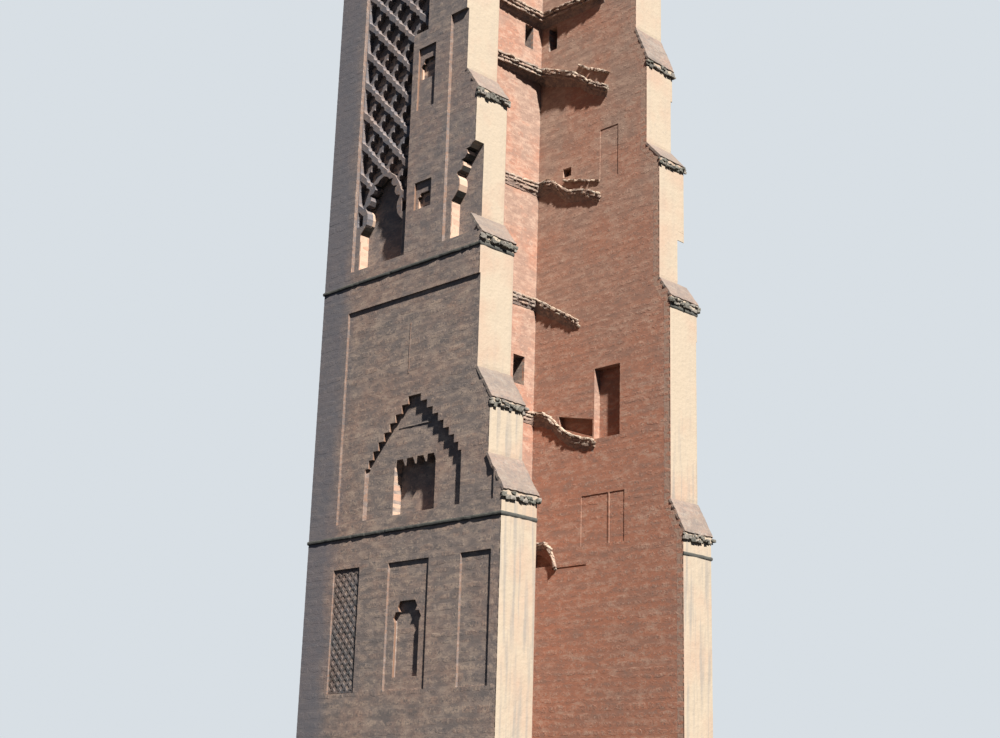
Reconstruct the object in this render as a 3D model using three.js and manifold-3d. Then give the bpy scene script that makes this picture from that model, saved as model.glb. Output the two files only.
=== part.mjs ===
// Ruined minaret of dressed stone: a square tower, hollow, with its fourth side and its ramp gone.
// Millimetres, +Z up. The broken open side looks along -Y, the gateway wall along +Y.
// The origin is on the ground, in the middle of the box that the ruin fills.
import * as THREE from "three";
import { mergeVertices } from "three/addons/utils/BufferGeometryUtils.js";
import Module from "manifold-3d";

const wasm = await Module();
wasm.setup();

// Driving dimensions of the tower
const towerSide = 10000;
const towerHeight = 38000;
const sideWallThickness = 1500;
const frontWallThickness = 2000;

// Levels of the string courses, which part the storeys
const lowerString = 10080;
const upperString = 18800;
const crownString = 32900;
const stringHeight = 130;
const stringReach = 50;

// Repair masonry on the two broken wall ends: a facing in stages, each under a sloping coping
const facingThickness = 250;
const copingThickness = 220;
const copingReach = 60;
const leftEnd = {
  faces: [-3970, -3310, -2710, -2210, -1680],
  eaves: [10880, 13800, 19240, 24480],
  tops: [12030, 14840, 20000, 25300],
};
const rightEnd = {
  faces: [-3970, -3450, -2980, -2390, -1860],
  eaves: [10880, 19240, 24640, 28760],
  tops: [12030, 20000, 25360, 30200],
};

// Blind ornament on the faces: how deep each layer lies behind the face
const panelDepth = 50;
const archDepth = 125;
const nicheDepth = 500;
const bayDepth = 100;
const bayArchDepth = 490;
const netBack = 350;
const axisFrameDepth = 80;
const axisNicheDepth = 210;
const arcadeDepth = 160;

// Tall bays of the upper storey, one each side of the axis
const bayCentre = 2275;
const frontBayCentre = 2150;
const bayInner = 920;
const bayFoot = 19350;
const bayShoulder = 27520;
const bayArch = { halfWidth: 1080, spring: 20720 };

// Half of the bay arch's head, as half widths and levels: a corbel and three rolls that swell inwards
const bayArchHead = [
  [930, 20860],
  [800, 21020],
  [750, 21220],
  [770, 21420],
  [880, 21600],
  [860, 21660],
  [700, 21700],
  [610, 21840],
  [620, 21980],
  [720, 22040],
  [520, 22080],
  [420, 22200],
  [440, 22320],
  [500, 22370],
  [300, 22400],
  [200, 22500],
];
const bayArchCrown = 22580;
const archivoltHead = [[1230, 21000], [1000, 21800], [700, 22400], [350, 22750]];
const archivoltCrown = 22850;

// The stepped arch of the middle storey, as half widths and the level that each reaches
const middleArchCentre = 110;
const middleArchSteps = [
  [2250, 12300],
  [2100, 12570],
  [1900, 12840],
  [1660, 13110],
  [1400, 13380],
  [1140, 13650],
  [880, 13900],
  [600, 14170],
  [300, 14420],
];

// Net of lozenges in the bays: bars across each other, a crossing on the bay's axis
const netPitch = 1090;
const netCourse = 1176;
const netCrossing = 22760;
const netBar = 200;
const netFoot = 20950;
const netShoulder = 27400;
const netTop = 32250;

// Gateway, a horseshoe arch on straight jambs
const gateRadius = 1500;
const gateDrop = 750;
const gateSpring = 3400;

// Stubs of the ramp vaults that stay on the inner faces: the level in the corner, where each starts
// on the front wall, where it ends on the side wall, how far it falls on the way, its height, and
// how far it stands out at its start, in the corner and at its end
const stubs = [
  { level: 11000, start: 2900, end: 1750, fall: 700, height: 200, reach: [130, 150, 90] },
  { level: 16000, start: 2400, end: 0, fall: 1400, height: 520, reach: [100, 140, 80] },
  { level: 20450, start: 1900, end: 850, fall: 1200, height: 520, reach: [110, 160, 100] },
  { level: 25100, start: 1500, end: -100, fall: 1000, height: 520, reach: [110, 180, 100] },
  { level: 29900, start: 600, end: -450, fall: 1100, height: 520, reach: [200, 460, 160] },
  { level: 32400, start: 0, end: -300, fall: 0, height: 520, reach: [260, 360, 240] },
];

// Small play that a sloping bed keeps
const bedGap = 0.4;
const cutMargin = 20;

// Values that follow from the ones above
const half = towerSide / 2;
const innerSide = half - sideWallThickness;
const innerFront = half - frontWallThickness;
const frontReach = half + stringReach;
const openReach = leftEnd.faces[0] - Math.max(copingReach, stringReach);
const centreOffset = (frontReach + openReach) / 2;
const gateHalf = Math.sqrt(gateRadius ** 2 - gateDrop ** 2);

// Solids: closed geometry to manifold and back
function solidFrom(geometry) {
  const bare = geometry.index ? geometry.toNonIndexed() : geometry.clone();
  bare.deleteAttribute("normal");
  bare.deleteAttribute("uv");
  const merged = mergeVertices(bare, 1e-3);
  const mesh = new wasm.Mesh({
    numProp: 3,
    vertProperties: merged.attributes.position.array,
    triVerts: new Uint32Array(merged.index.array),
  });
  return new wasm.Manifold(mesh);
}

function geometryFrom(solid) {
  const mesh = solid.getMesh();
  const geometry = new THREE.BufferGeometry();
  geometry.setAttribute("position", new THREE.BufferAttribute(mesh.vertProperties, 3));
  geometry.setIndex(new THREE.BufferAttribute(mesh.triVerts, 1));
  return geometry;
}

function block(x0, x1, y0, y1, z0, z1) {
  const geometry = new THREE.BoxGeometry(x1 - x0, y1 - y0, z1 - z0);
  geometry.translate((x0 + x1) / 2, (y0 + y1) / 2, (z0 + z1) / 2);
  return solidFrom(geometry);
}

function extrudeOutline(outline, depth) {
  const shape = new THREE.Shape(outline.map(([a, b]) => new THREE.Vector2(a, b)));
  return new THREE.ExtrudeGeometry(shape, { depth, bevelEnabled: false });
}

// An outline of points (y, z), run along x
function prismAlongX(outline, x0, x1) {
  const geometry = extrudeOutline(outline, x1 - x0);
  const turn = new THREE.Matrix4().makeBasis(
    new THREE.Vector3(0, 1, 0),
    new THREE.Vector3(0, 0, 1),
    new THREE.Vector3(1, 0, 0),
  );
  geometry.applyMatrix4(turn);
  geometry.translate(x0, 0, 0);
  return solidFrom(geometry);
}

// An outline of points (x, z), run along y
function prismAlongY(outline, y0, y1) {
  const geometry = extrudeOutline(outline, y1 - y0);
  const turn = new THREE.Matrix4().makeBasis(
    new THREE.Vector3(1, 0, 0),
    new THREE.Vector3(0, 0, 1),
    new THREE.Vector3(0, -1, 0),
  );
  geometry.applyMatrix4(turn);
  geometry.translate(0, y1, 0);
  return solidFrom(geometry);
}

// An outline of points (x, y), run upwards
function prismUp(outline, z0, z1) {
  const geometry = extrudeOutline(outline, z1 - z0);
  geometry.translate(0, 0, z0);
  return solidFrom(geometry);
}

const union = (solids) => solids.reduce((a, b) => a.add(b));
const cutAll = (solid, cuts) => cuts.reduce((a, b) => a.subtract(b), solid);

// A prism that lies between two depths behind an outer face; along is y on a side, x on the front
function behindFace(face, outline, depth0, depth1) {
  if (face === "left") return prismAlongX(outline, -half + depth0, -half + depth1);
  if (face === "right") return prismAlongX(outline, half - depth1, half - depth0);
  return prismAlongY(outline, half - depth1, half - depth0);
}

const cutInFace = (face, outline, depth) => behindFace(face, outline, -cutMargin, depth);

// Outlines
const rectangle = (a0, a1, z0, z1) => [[a0, z0], [a1, z0], [a1, z1], [a0, z1]];

// Half of a lobed arch head: equal lobes along a straight rake from the springing to the crown
function lobes(from, to, count) {
  const points = [];
  const rise = [to[0] - from[0], to[1] - from[1]];
  const length = Math.hypot(...rise);
  const outward = [-rise[1] / length, rise[0] / length];
  const bulge = (0.36 * length) / count;
  const side = outward[1] < 0 ? -1 : 1;
  for (let i = 0; i < count; i += 1) {
    for (const [t, swell] of [[0, 0], [0.22, 1], [0.78, 1]]) {
      const along = (i + t) / count;
      points.push([
        from[0] + rise[0] * along + side * outward[0] * bulge * swell,
        from[1] + rise[1] * along + side * outward[1] * bulge * swell,
      ]);
    }
  }
  return points;
}

// A blind arch on straight jambs with a lobed head
function lobedArch(centre, halfWidth, sill, spring, crown, count) {
  const headHalf = halfWidth / (count + 1);
  const right = lobes([centre + halfWidth, spring], [centre + headHalf, crown], count);
  const left = right.map(([a, z]) => [2 * centre - a, z]).reverse();
  return [
    [centre - halfWidth, sill],
    [centre + halfWidth, sill],
    ...right,
    [centre + headHalf, crown],
    [centre - headHalf, crown],
    ...left,
  ];
}

// A shape that mirrors about its axis, from its sill, half of its head and its crown
function mirrored(centre, halfWidth, sill, head, crown) {
  const right = head.map(([a, z]) => [centre + a, z]);
  const left = head.map(([a, z]) => [centre - a, z]).reverse();
  return [[centre - halfWidth, sill], [centre + halfWidth, sill], ...right, [centre, crown], ...left];
}

// A blind arch whose head climbs in square steps
function steppedArch(centre, sill, steps) {
  const head = [];
  steps.forEach(([a, z], i) => {
    if (i > 0) head.push([a, steps[i - 1][1]]);
    head.push([a, z]);
  });
  const crown = steps[steps.length - 1][1];
  return mirrored(centre, steps[0][0], sill, head, crown);
}

// A niche whose level head hangs in a row of scallops
function scallopedNiche(a0, a1, sill, head, count) {
  const points = [[a0, sill], [a1, sill]];
  const width = (a1 - a0) / count;
  for (let i = 0; i < count; i += 1) {
    const start = a1 - i * width;
    points.push([start, head - 0.45 * width]);
    points.push([start - 0.2 * width, head]);
    points.push([start - 0.8 * width, head]);
  }
  points.push([a0, head - 0.45 * width]);
  return points;
}

// A round arch head that stands on a springing line and passes more than half a circle
function horseshoe(radius, halfWidth, foot, spring) {
  const points = [[-halfWidth, foot], [halfWidth, foot], [halfWidth, spring]];
  const start = -Math.acos(halfWidth / radius);
  const centre = spring + radius * Math.sin(-start);
  const steps = 18;
  for (let i = 1; i < steps; i += 1) {
    const angle = start + ((Math.PI - 2 * start) * i) / steps;
    points.push([radius * Math.cos(angle), centre + radius * Math.sin(angle)]);
  }
  points.push([-halfWidth, spring]);
  return points;
}

// Ornament of the base storey on a side face
function basePanels(face) {
  const bays = [[2310, 3600], [-930, 930], [-3600, -2310]];
  const panels = bays.map(([a0, a1]) => cutInFace(face, rectangle(a0, a1, 5200, 9120), panelDepth));
  const niche = cutInFace(face, lobedArch(0, 560, 5600, 7250, 7900, 2), panelDepth + archDepth);
  return [...panels, niche];
}

// Ornament of the middle storey: a wide panel, a stepped arch in it and a deep niche in the arch
function middleOrnament(face, centre, panelHalf) {
  const panel = rectangle(-panelHalf, panelHalf, 10600, 17870);
  const arch = steppedArch(centre, 10620, middleArchSteps);
  const niche = scallopedNiche(centre - 980, centre + 940, 10640, 12430, 4);
  return [
    cutInFace(face, panel, panelDepth),
    cutInFace(face, arch, panelDepth + archDepth),
    cutInFace(face, niche, nicheDepth),
  ];
}

// The arch at the foot of a bay, and the plainer outline of the band round it
function bayArchOutline(centre) {
  const head = [[bayArch.halfWidth, bayArch.spring], ...bayArchHead];
  return mirrored(centre, bayArch.halfWidth, bayFoot + cutMargin, head, bayArchCrown);
}

const archivoltOutline = (centre) =>
  mirrored(centre, archivoltHead[0][0], bayFoot + cutMargin, archivoltHead, archivoltCrown);

// Ornament of the upper storey: two tall bays with rolled arches, and framed niches on the axis between
function upperOrnament(face, centre, bayEdge) {
  const bays = [1, -1].flatMap((way) => {
    const [a0, a1] = [way * bayInner, way * bayEdge].sort((a, b) => a - b);
    return [
      cutInFace(face, rectangle(a0, a1, bayFoot, bayShoulder), bayDepth),
      cutInFace(face, bayArchOutline(way * centre), bayArchDepth),
    ];
  });
  const frames = [rectangle(-280, 540, 20800, 21780), rectangle(-220, 640, 24450, 26780)];
  const niches = [
    lobedArch(90, 330, 20850, 21150, 21380, 2),
    lobedArch(180, 360, 25600, 26000, 26350, 2),
  ];
  return [
    ...bays,
    ...frames.map((frame) => cutInFace(face, frame, axisFrameDepth)),
    ...niches.map((niche) => cutInFace(face, niche, axisNicheDepth)),
  ];
}

// The outline that the net of lozenges fills on a side face, one bay that widens above
const sideNetEdge = 3620;
const sideNet = [
  [bayInner, netFoot],
  [sideNetEdge, netFoot],
  [sideNetEdge, netTop],
  [210, netTop],
  [210, netShoulder],
  [bayInner, netShoulder],
];

// On the front it fills both bays and joins over the axis
const frontNetEdge = 3330;
const frontNet = [
  [bayInner, netFoot],
  [frontNetEdge, netFoot],
  [frontNetEdge, netTop],
  [-frontNetEdge, netTop],
  [-frontNetEdge, netFoot],
  [-bayInner, netFoot],
  [-bayInner, netShoulder],
  [bayInner, netShoulder],
];

// Blind arcade of the crown storey
function arcade(face, centres) {
  return centres.map((a) => cutInFace(face, lobedArch(a, 520, 33900, 35700, 36700, 3), arcadeDepth));
}

// Windows through the walls
const windows = {
  frontMiddle: block(2360, 2950, innerFront - cutMargin, half + cutMargin, 17000, 18100),
  frontUpper: block(2540, 2990, innerFront - cutMargin, half + cutMargin, 30840, 31810),
  rightUpper: block(innerSide - cutMargin, half + cutMargin, 2170, 2610, 30800, 31800),
};

// Shallow panels on the inner faces of the side walls, and the sockets of the right one
function innerPanels(way) {
  const panels = [
    [rectangle(-690, 560, 10800, 12600), 20],
    [rectangle(-1430, -750, 10800, 12600), 20],
    [rectangle(-1200, 0, 14600, 17200), 300],
    [[[60, 14700], [1650, 15250], [1720, 15700], [60, 15350]], 250],
    [rectangle(-1040, -150, 24500, 26550), 20],
  ];
  const sockets = [
    [[[1930, 10250], [2960, 10250], [2960, 10780], [2500, 10700], [2130, 10480]], 260],
    [rectangle(300, 1900, 10110, 10170), 50],
    [rectangle(1300, 1720, 25120, 25480), 300],
  ];
  return [...panels, ...(way > 0 ? sockets : [])].map(([outline, depth]) =>
    way < 0
      ? prismAlongX(outline, -innerSide - depth, -innerSide + cutMargin)
      : prismAlongX(outline, innerSide - cutMargin, innerSide + depth),
  );
}

// The masonry of a side wall behind its repair facing, as one stepped outline of (y, z)
function sideWallOutline(end) {
  const back = end.faces.map((face) => face + facingThickness);
  const steps = [];
  for (let i = end.eaves.length - 1; i >= 0; i -= 1) {
    steps.push([back[i + 1], end.tops[i] - copingThickness - bedGap]);
    steps.push([back[i], end.eaves[i] - copingThickness - bedGap]);
  }
  return [[half, 0], [half, towerHeight], [back[back.length - 1], towerHeight], ...steps, [back[0], 0]];
}

const storeys = {
  base: [0, lowerString],
  middle: [lowerString, upperString],
  upper: [upperString, crownString],
  crown: [crownString, towerHeight],
};

function sideWallPieces(face, end) {
  const way = face === "left" ? -1 : 1;
  const [x0, x1] = way < 0 ? [-half, -innerSide] : [innerSide, half];
  const whole = prismAlongX(sideWallOutline(end), x0, x1);
  const cuts = {
    base: basePanels(face),
    middle: [...middleOrnament(face, middleArchCentre, 3620), ...innerPanels(way)],
    upper: [
      ...upperOrnament(face, bayCentre, sideNetEdge),
      cutInFace(face, sideNet, netBack),
      ...innerPanels(way),
      ...(way > 0 ? [windows.rightUpper] : []),
    ],
    crown: arcade(face, [3600, 2200, 800, -600]),
  };
  return Object.entries(storeys).map(([name, [z0, z1]]) => {
    const slab = block(-half - 1000, half + 1000, -half, half + 1000, z0, z1);
    return [face + "_wall_" + name, cutAll(whole.intersect(slab), cuts[name])];
  });
}

// The front wall between the side walls, with the gateway split into two piers and an arch
function frontWallPieces() {
  const slab = (z0, z1) => block(-innerSide, innerSide, innerFront, half, z0, z1);
  const gate = prismAlongY(horseshoe(gateRadius, gateHalf, -cutMargin, gateSpring), 0, half * 2);
  const surround = cutInFace("front", lobedArch(0, 2500, -cutMargin, 3600, 7900, 9), archDepth);
  const frame = cutInFace("front", rectangle(-3100, 3100, -cutMargin, 9120), panelDepth);
  const base = [gate, surround, frame];
  const netBed = cutInFace("front", frontNet, netBack);
  const pier = (a0, a1) => block(a0, a1, innerFront, half, 0, gateSpring);
  return [
    ["gateway_left_pier", cutAll(pier(-innerSide, -gateHalf), [surround, frame])],
    ["gateway_right_pier", cutAll(pier(gateHalf, innerSide), [surround, frame])],
    ["gateway_arch", cutAll(slab(gateSpring, lowerString), base)],
    ["front_wall_middle", cutAll(slab(...storeys.middle), [...middleOrnament("front", 0, 2300), windows.frontMiddle])],
    ["front_wall_upper", cutAll(slab(...storeys.upper), [...upperOrnament("front", frontBayCentre, 3400), netBed, windows.frontUpper])],
    ["front_wall_crown", cutAll(slab(...storeys.crown), arcade("front", [-2760, -1380, 0, 1380, 2760]))],
  ];
}

// The upright facing of one stage of the repair
function endFacing(end, i) {
  const foot = i === 0 ? 0 : end.tops[i - 1];
  const head = i === end.faces.length - 1 ? towerHeight : end.eaves[i] - copingThickness;
  return rectangle(end.faces[i], end.faces[i] + facingThickness, foot, head);
}

// The sloping coping that caps a stage, from its eaves up to the next stage's foot
function endCoping(end, i) {
  const [face, above] = [end.faces[i], end.faces[i + 1]];
  return [
    [face - copingReach, end.eaves[i] - copingThickness],
    [face - copingReach, end.eaves[i]],
    [above, end.tops[i]],
    [above + facingThickness, end.tops[i]],
    [above + facingThickness, end.tops[i] - copingThickness],
    [face + facingThickness, end.eaves[i] - copingThickness],
  ];
}

// The facings end flush with the wall, so the panels and bays of its outer face run out through them
function endPieces(face, end) {
  const [x0, x1] = face === "left" ? [-half, -innerSide] : [innerSide, half];
  const ornament = [
    ...middleOrnament(face, middleArchCentre, 3620),
    ...upperOrnament(face, bayCentre, sideNetEdge),
  ];
  return end.faces.map((_, i) => {
    const facing = prismAlongX(endFacing(end, i), x0, x1);
    const last = i === end.faces.length - 1;
    const whole = last ? facing : facing.add(prismAlongX(endCoping(end, i), x0, x1));
    return [face + "_end_" + (i + 1), cutAll(whole, ornament)];
  });
}

// A string course that runs round the three walls and returns across the broken ends
function stringCourse(level, leftFace, rightFace) {
  const outer = half + stringReach;
  const outline = [
    [-innerSide, leftFace - stringReach],
    [-outer, leftFace - stringReach],
    [-outer, outer],
    [outer, outer],
    [outer, rightFace - stringReach],
    [innerSide, rightFace - stringReach],
    [innerSide, rightFace],
    [half, rightFace],
    [half, half],
    [-half, half],
    [-half, leftFace],
    [-innerSide, leftFace],
  ];
  return prismUp(outline, level, level + stringHeight);
}

// The net: bars that rise and fall across each other, fused where they cross, with a rim round its
// outline and round the lobed arches that it stands on
function net(face, outline, centres, holes) {
  const along = outline.map(([a]) => a);
  const [a0, a1] = [Math.min(...along) - netPitch, Math.max(...along) + netPitch];
  const slope = netCourse / netPitch;
  const barHalf = (netBar / 2) * Math.hypot(1, slope);
  const courses = Math.ceil((netTop - netFoot + slope * (a1 - a0)) / netCourse);
  const bars = [];
  for (const way of [slope, -slope]) {
    const height = (a, k) => netCrossing + k * netCourse + way * (a - centres[0]);
    for (let k = -courses; k <= courses; k += 1) {
      const bar = [
        [a0, height(a0, k) - barHalf],
        [a1, height(a1, k) - barHalf],
        [a1, height(a1, k) + barHalf],
        [a0, height(a0, k) + barHalf],
      ];
      bars.push(behindFace(face, bar, bayDepth, netBack));
    }
  }
  const grownArches = centres.map((a) => behindFace(face, archivoltOutline(a), bayDepth, netBack));
  const arches = centres.map((a) => behindFace(face, bayArchOutline(a), bayDepth, netBack));
  const field = behindFace(face, outline, bayDepth, netBack);
  const mesh = union([...bars, ...netRim(face, outline), ...grownArches]);
  return cutAll(field.intersect(mesh), [...arches, ...holes]);
}

// A plain rim along each edge of the net's outline
function netRim(face, outline) {
  return outline.map(([a, z], i) => {
    const [b, y] = outline[(i + 1) % outline.length];
    const strip = rectangle(
      Math.min(a, b) - netBar / 2,
      Math.max(a, b) + netBar / 2,
      Math.min(z, y) - netBar / 2,
      Math.max(z, y) + netBar / 2,
    );
    return behindFace(face, strip, bayDepth, netBack);
  });
}

function windowInNet(face) {
  const frame = 60;
  if (face === "front") return behindFace(face, rectangle(2540 - frame, 2990 + frame, 30780, 31870), 0, 400);
  return behindFace(face, rectangle(2170 - frame, 2610 + frame, 30740, 31860), 0, 400);
}

// The section of a vault stub, as its reach out of the wall and its level
const stubSection = (reach, height) => [
  [0, 0],
  [reach, -0.12 * height],
  [reach, -0.36 * height],
  [0.5 * reach, -0.6 * height],
  [0, -height],
];

// A stub of ramp vault: along the front wall to the corner, and down a side wall with the ramp's fall
function vaultStub(way, { level, start, end, fall, height, reach }) {
  const onFront = (x, out) =>
    stubSection(out, height).map(([r, z]) => [way * x, innerFront - r, level + z]);
  const onSide = (y, out, drop) =>
    stubSection(out, height).map(([r, z]) => [way * (innerSide - r), y, level + z - way * drop]);
  const front = wasm.Manifold.hull([...onFront(start, reach[0]), ...onFront(innerSide, reach[1])]);
  const side = wasm.Manifold.hull([...onSide(innerFront, reach[1], 0), ...onSide(end, reach[2], fall)]);
  return front.add(side);
}

// Finishes
const finishes = {
  wall: { color: 0x8d7966, roughness: 0.95 },
  front: { color: 0x97765f, roughness: 0.95 },
  repair: { color: 0xd9c6a5, roughness: 0.9 },
  carved: { color: 0x8a8278, roughness: 0.95 },
  rubble: { color: 0x6f6154, roughness: 1 },
};

function finishFor(name) {
  if (name.includes("_end_")) return finishes.repair;
  if (name.includes("sebka") || name.includes("string")) return finishes.carved;
  if (name.includes("stub")) return finishes.rubble;
  return name.startsWith("front") || name.startsWith("gateway") ? finishes.front : finishes.wall;
}

const minaret = new THREE.Group();
minaret.position.y = -centreOffset;

function place(name, solid) {
  const material = new THREE.MeshStandardMaterial({ ...finishFor(name), metalness: 0 });
  const mesh = new THREE.Mesh(geometryFrom(solid), material);
  mesh.name = name;
  minaret.add(mesh);
}

const pieces = [
  ...sideWallPieces("left", leftEnd),
  ...sideWallPieces("right", rightEnd),
  ...frontWallPieces(),
  ["lower_string", stringCourse(lowerString, leftEnd.faces[0], rightEnd.faces[0])],
  ["upper_string", stringCourse(upperString, leftEnd.faces[2], rightEnd.faces[1])],
  ["crown_string", stringCourse(crownString, leftEnd.faces[4], rightEnd.faces[4])],
  ["left_sebka", net("left", sideNet, [bayCentre], [])],
  ["right_sebka", net("right", sideNet, [bayCentre], [windowInNet("right")])],
  ["front_sebka", net("front", frontNet, [frontBayCentre, -frontBayCentre], [windowInNet("front")])],
  ...endPieces("left", leftEnd),
  ...endPieces("right", rightEnd),
  ...stubs.map((stub, i) => ["left_vault_stub_" + (i + 1), vaultStub(-1, stub)]),
  ...stubs.map((stub, i) => ["right_vault_stub_" + (i + 1), vaultStub(1, stub)]),
];
for (const [name, solid] of pieces) place(name, solid);

export default minaret;
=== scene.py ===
"""Dresses the ruined minaret: coursed stone, lime render, carved nets, copings and vault stubs."""
import math

import bmesh
import bpy
import numpy as np
from mathutils import Matrix, Vector, noise


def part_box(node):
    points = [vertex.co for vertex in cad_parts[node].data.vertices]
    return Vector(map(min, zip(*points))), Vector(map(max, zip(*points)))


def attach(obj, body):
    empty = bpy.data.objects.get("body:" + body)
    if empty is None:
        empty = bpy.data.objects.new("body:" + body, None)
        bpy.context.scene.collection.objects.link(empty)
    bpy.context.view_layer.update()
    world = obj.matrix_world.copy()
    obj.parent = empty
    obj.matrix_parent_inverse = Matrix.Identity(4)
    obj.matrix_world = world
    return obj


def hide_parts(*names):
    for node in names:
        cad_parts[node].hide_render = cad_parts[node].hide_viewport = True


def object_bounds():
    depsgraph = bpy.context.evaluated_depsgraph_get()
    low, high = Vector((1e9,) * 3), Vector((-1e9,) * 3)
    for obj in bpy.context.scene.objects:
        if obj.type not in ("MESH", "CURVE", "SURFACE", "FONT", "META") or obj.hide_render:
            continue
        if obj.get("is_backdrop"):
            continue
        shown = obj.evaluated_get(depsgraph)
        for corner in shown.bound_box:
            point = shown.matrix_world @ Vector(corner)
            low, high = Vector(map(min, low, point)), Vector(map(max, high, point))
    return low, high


bl_info = {
    "name": "Ruined Minaret",
    "version": (1, 0, 0),
    "blender": (4, 5, 0),
    "location": "View3D > Sidebar > Minaret",
    "description": "Builds the stonework and finishes of a ruined minaret around its frame",
    "category": "Object",
}

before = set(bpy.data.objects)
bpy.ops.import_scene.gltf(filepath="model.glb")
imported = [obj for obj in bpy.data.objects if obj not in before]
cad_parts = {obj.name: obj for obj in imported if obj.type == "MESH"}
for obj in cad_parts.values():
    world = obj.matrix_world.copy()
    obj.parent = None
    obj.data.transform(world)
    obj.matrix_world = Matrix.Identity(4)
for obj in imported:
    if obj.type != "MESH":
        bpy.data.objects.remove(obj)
CAD_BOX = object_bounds()
MM = 0.001
BODY = "root"

# The tower's square plan is centred a little behind the middle of the box that the ruin fills
TOWER_SIDE = 10.0
HALF = TOWER_SIDE / 2
SIDE_WALL = 1.5
FRONT_WALL = 2.0
STRING_REACH = 50 * MM
AXIS_Y = CAD_BOX[1].y - (HALF + STRING_REACH)
INNER_SIDE = HALF - SIDE_WALL
INNER_FRONT = AXIS_Y + HALF - FRONT_WALL
TOWER_HEIGHT = CAD_BOX[1].z

# How far the faces of the hollow reach into its walls, with their pockets
HOLLOW_SIDE = INNER_SIDE + 0.4
HOLLOW_FRONT = INNER_FRONT + 0.1

# Depths that pass right through a wall's face, and a length that counts as none
THROUGH = (-1.0, 1.0)
TINY = 1e-9

# Foot and head of each storey; the string courses lie between them
STOREYS = {
    "base": (0.0, 10.08),
    "middle": (10.08, 18.80),
    "upper": (18.80, 32.90),
    "crown": (32.90, 38.00),
}
SIDES = ("left", "right")
SIDE_FACES = (("left", (-1, 0, 0)), ("right", (1, 0, 0)))


def srgb_to_linear(hex_colour):
    """A "#RRGGBB" colour as linear red, green and blue."""
    parts = [int(hex_colour[i : i + 2], 16) / 255 for i in (1, 3, 5)]
    return tuple(c / 12.92 if c <= 0.04045 else ((c + 0.055) / 1.055) ** 2.4 for c in parts)


def colour_prop(name, hex_colour, description):
    return bpy.props.FloatVectorProperty(
        name=name,
        description=description,
        size=3,
        subtype="COLOR",
        min=0.0,
        max=1.0,
        default=srgb_to_linear(hex_colour),
    )


def length_prop(name, default, description):
    return bpy.props.FloatProperty(
        name=name, description=description, default=default, min=0.0, unit="LENGTH"
    )


class MinaretStonework(bpy.types.PropertyGroup):
    """Sizes of the coursed masonry and of its wear."""

    course: length_prop("Course height", 0.27, "Mean height of a course of outer facing stone")
    length: length_prop("Stone length", 0.56, "Mean length of an outer facing stone")
    inner_course: length_prop("Inner course", 0.25, "Mean height of a course inside the tower")
    inner_length: length_prop("Inner stone length", 0.44, "Mean length of a stone inside the tower")
    joint: length_prop("Joint", 0.006, "Width of the gap between two stones")
    arris: length_prop("Worn edge", 0.030, "How far a stone's worn edge runs in from its joint")
    relief: length_prop("Relief", 0.0045, "How far a stone stands proud before its style's share")
    bury: length_prop("Bedding", 0.012, "How far a stone reaches back into its bed")
    smallest_face: length_prop("Smallest face", 0.2, "Narrowest flat face that is coursed")
    missing: bpy.props.FloatProperty(
        name="Missing stones",
        description="Share of the stones weathered away",
        default=0.025,
        min=0.0,
        max=1.0,
        subtype="FACTOR",
    )
    coat: length_prop("Render coat", 0.016, "Thickness of the lime render on the broken ends")
    coping: length_prop("Coping", 0.045, "Thickness of the sloping copings")
    boulder: length_prop("Boulder", 0.24, "Mean length of a broken stone in a ragged edge")
    seed: bpy.props.IntProperty(name="Seed", description="Order of the random draws", default=7)


class MinaretNet(bpy.types.PropertyGroup):
    """Sizes of the net of lozenges."""

    pitch: length_prop("Pitch", 1.09, "Distance along the wall between two crossings")
    course: length_prop("Course", 1.176, "Height between two crossings")
    crossing: length_prop("Crossing", 22.76, "Level of a crossing on a bay's axis")
    bar: length_prop("Bar", 0.27, "Width of a bar where the lobes leave it widest")
    lobe: length_prop("Lobe", 0.06, "How far a lobe bites into a bar")
    rim: length_prop("Rim", 0.06, "Width of the plain rim round the net")
    moulding: length_prop("Moulding", 0.022, "Width of the worn moulding on a bar's edges")
    step: length_prop("Step", 0.03, "How far one set of bars lies behind the other")


class MinaretColours(bpy.types.PropertyGroup):
    """Colours of the stones, render and stage."""

    patina: colour_prop("Patina", "#796D67", "Grey-brown patina of the outer faces")
    patina_dark: colour_prop("Dark patina", "#5B5655", "Darkest outer stones")
    patina_light: colour_prop("Pale patina", "#9F8D7E", "Palest outer stones")
    patina_grey: colour_prop("Washed patina", "#59595F", "Grey corner that the rain washes")
    patina_red: colour_prop("Warm patina", "#876D60", "Warm iron-stained outer stones")
    inner: colour_prop("Inner stone", "#8A7366", "Sheltered stone inside the tower")
    inner_dark: colour_prop("Dark inner stone", "#796359", "Darkest stone inside the tower")
    inner_light: colour_prop("Pale inner stone", "#A18A7B", "Palest stone inside the tower")
    inner_red: colour_prop("Red inner stone", "#93634F", "Reddest stone inside the tower")
    arris: colour_prop("Worn arris", "#6C5446", "Browned arrises that stand in the sun")
    reveal: colour_prop("Reveal", "#A58D7C", "Sheltered reveals of the arches and niches")
    render: colour_prop("Lime render", "#988C7C", "Lime render of the repaired ends")
    render_stain: colour_prop("Render stain", "#7F7972", "Rain streaks on the render")
    render_warm: colour_prop("Warm render", "#967C6C", "Render stained by the earth")
    coping: colour_prop("Coping", "#6D6158", "Rain-washed top of a coping")
    lichen: colour_prop("Lichen", "#50514A", "Grey lichen on ledges and copings")
    # Blackened is also laid as painted shade: on the bays' downward-looking soffits, and as the
    # darkest tone of the lattices.
    blackened: colour_prop("Blackened", "#3E3E3C", "Stone blackened by lichen and soot")
    floor: colour_prop("Floor", "#DEDCD8", "Plain pale floor")
    backdrop: colour_prop("Backdrop", "#DDE4EA", "Plain pale backdrop")


def stonework():
    return bpy.context.scene.minaret_stonework


def net_sizes():
    return bpy.context.scene.minaret_net


def colours():
    return bpy.context.scene.minaret_colours


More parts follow.
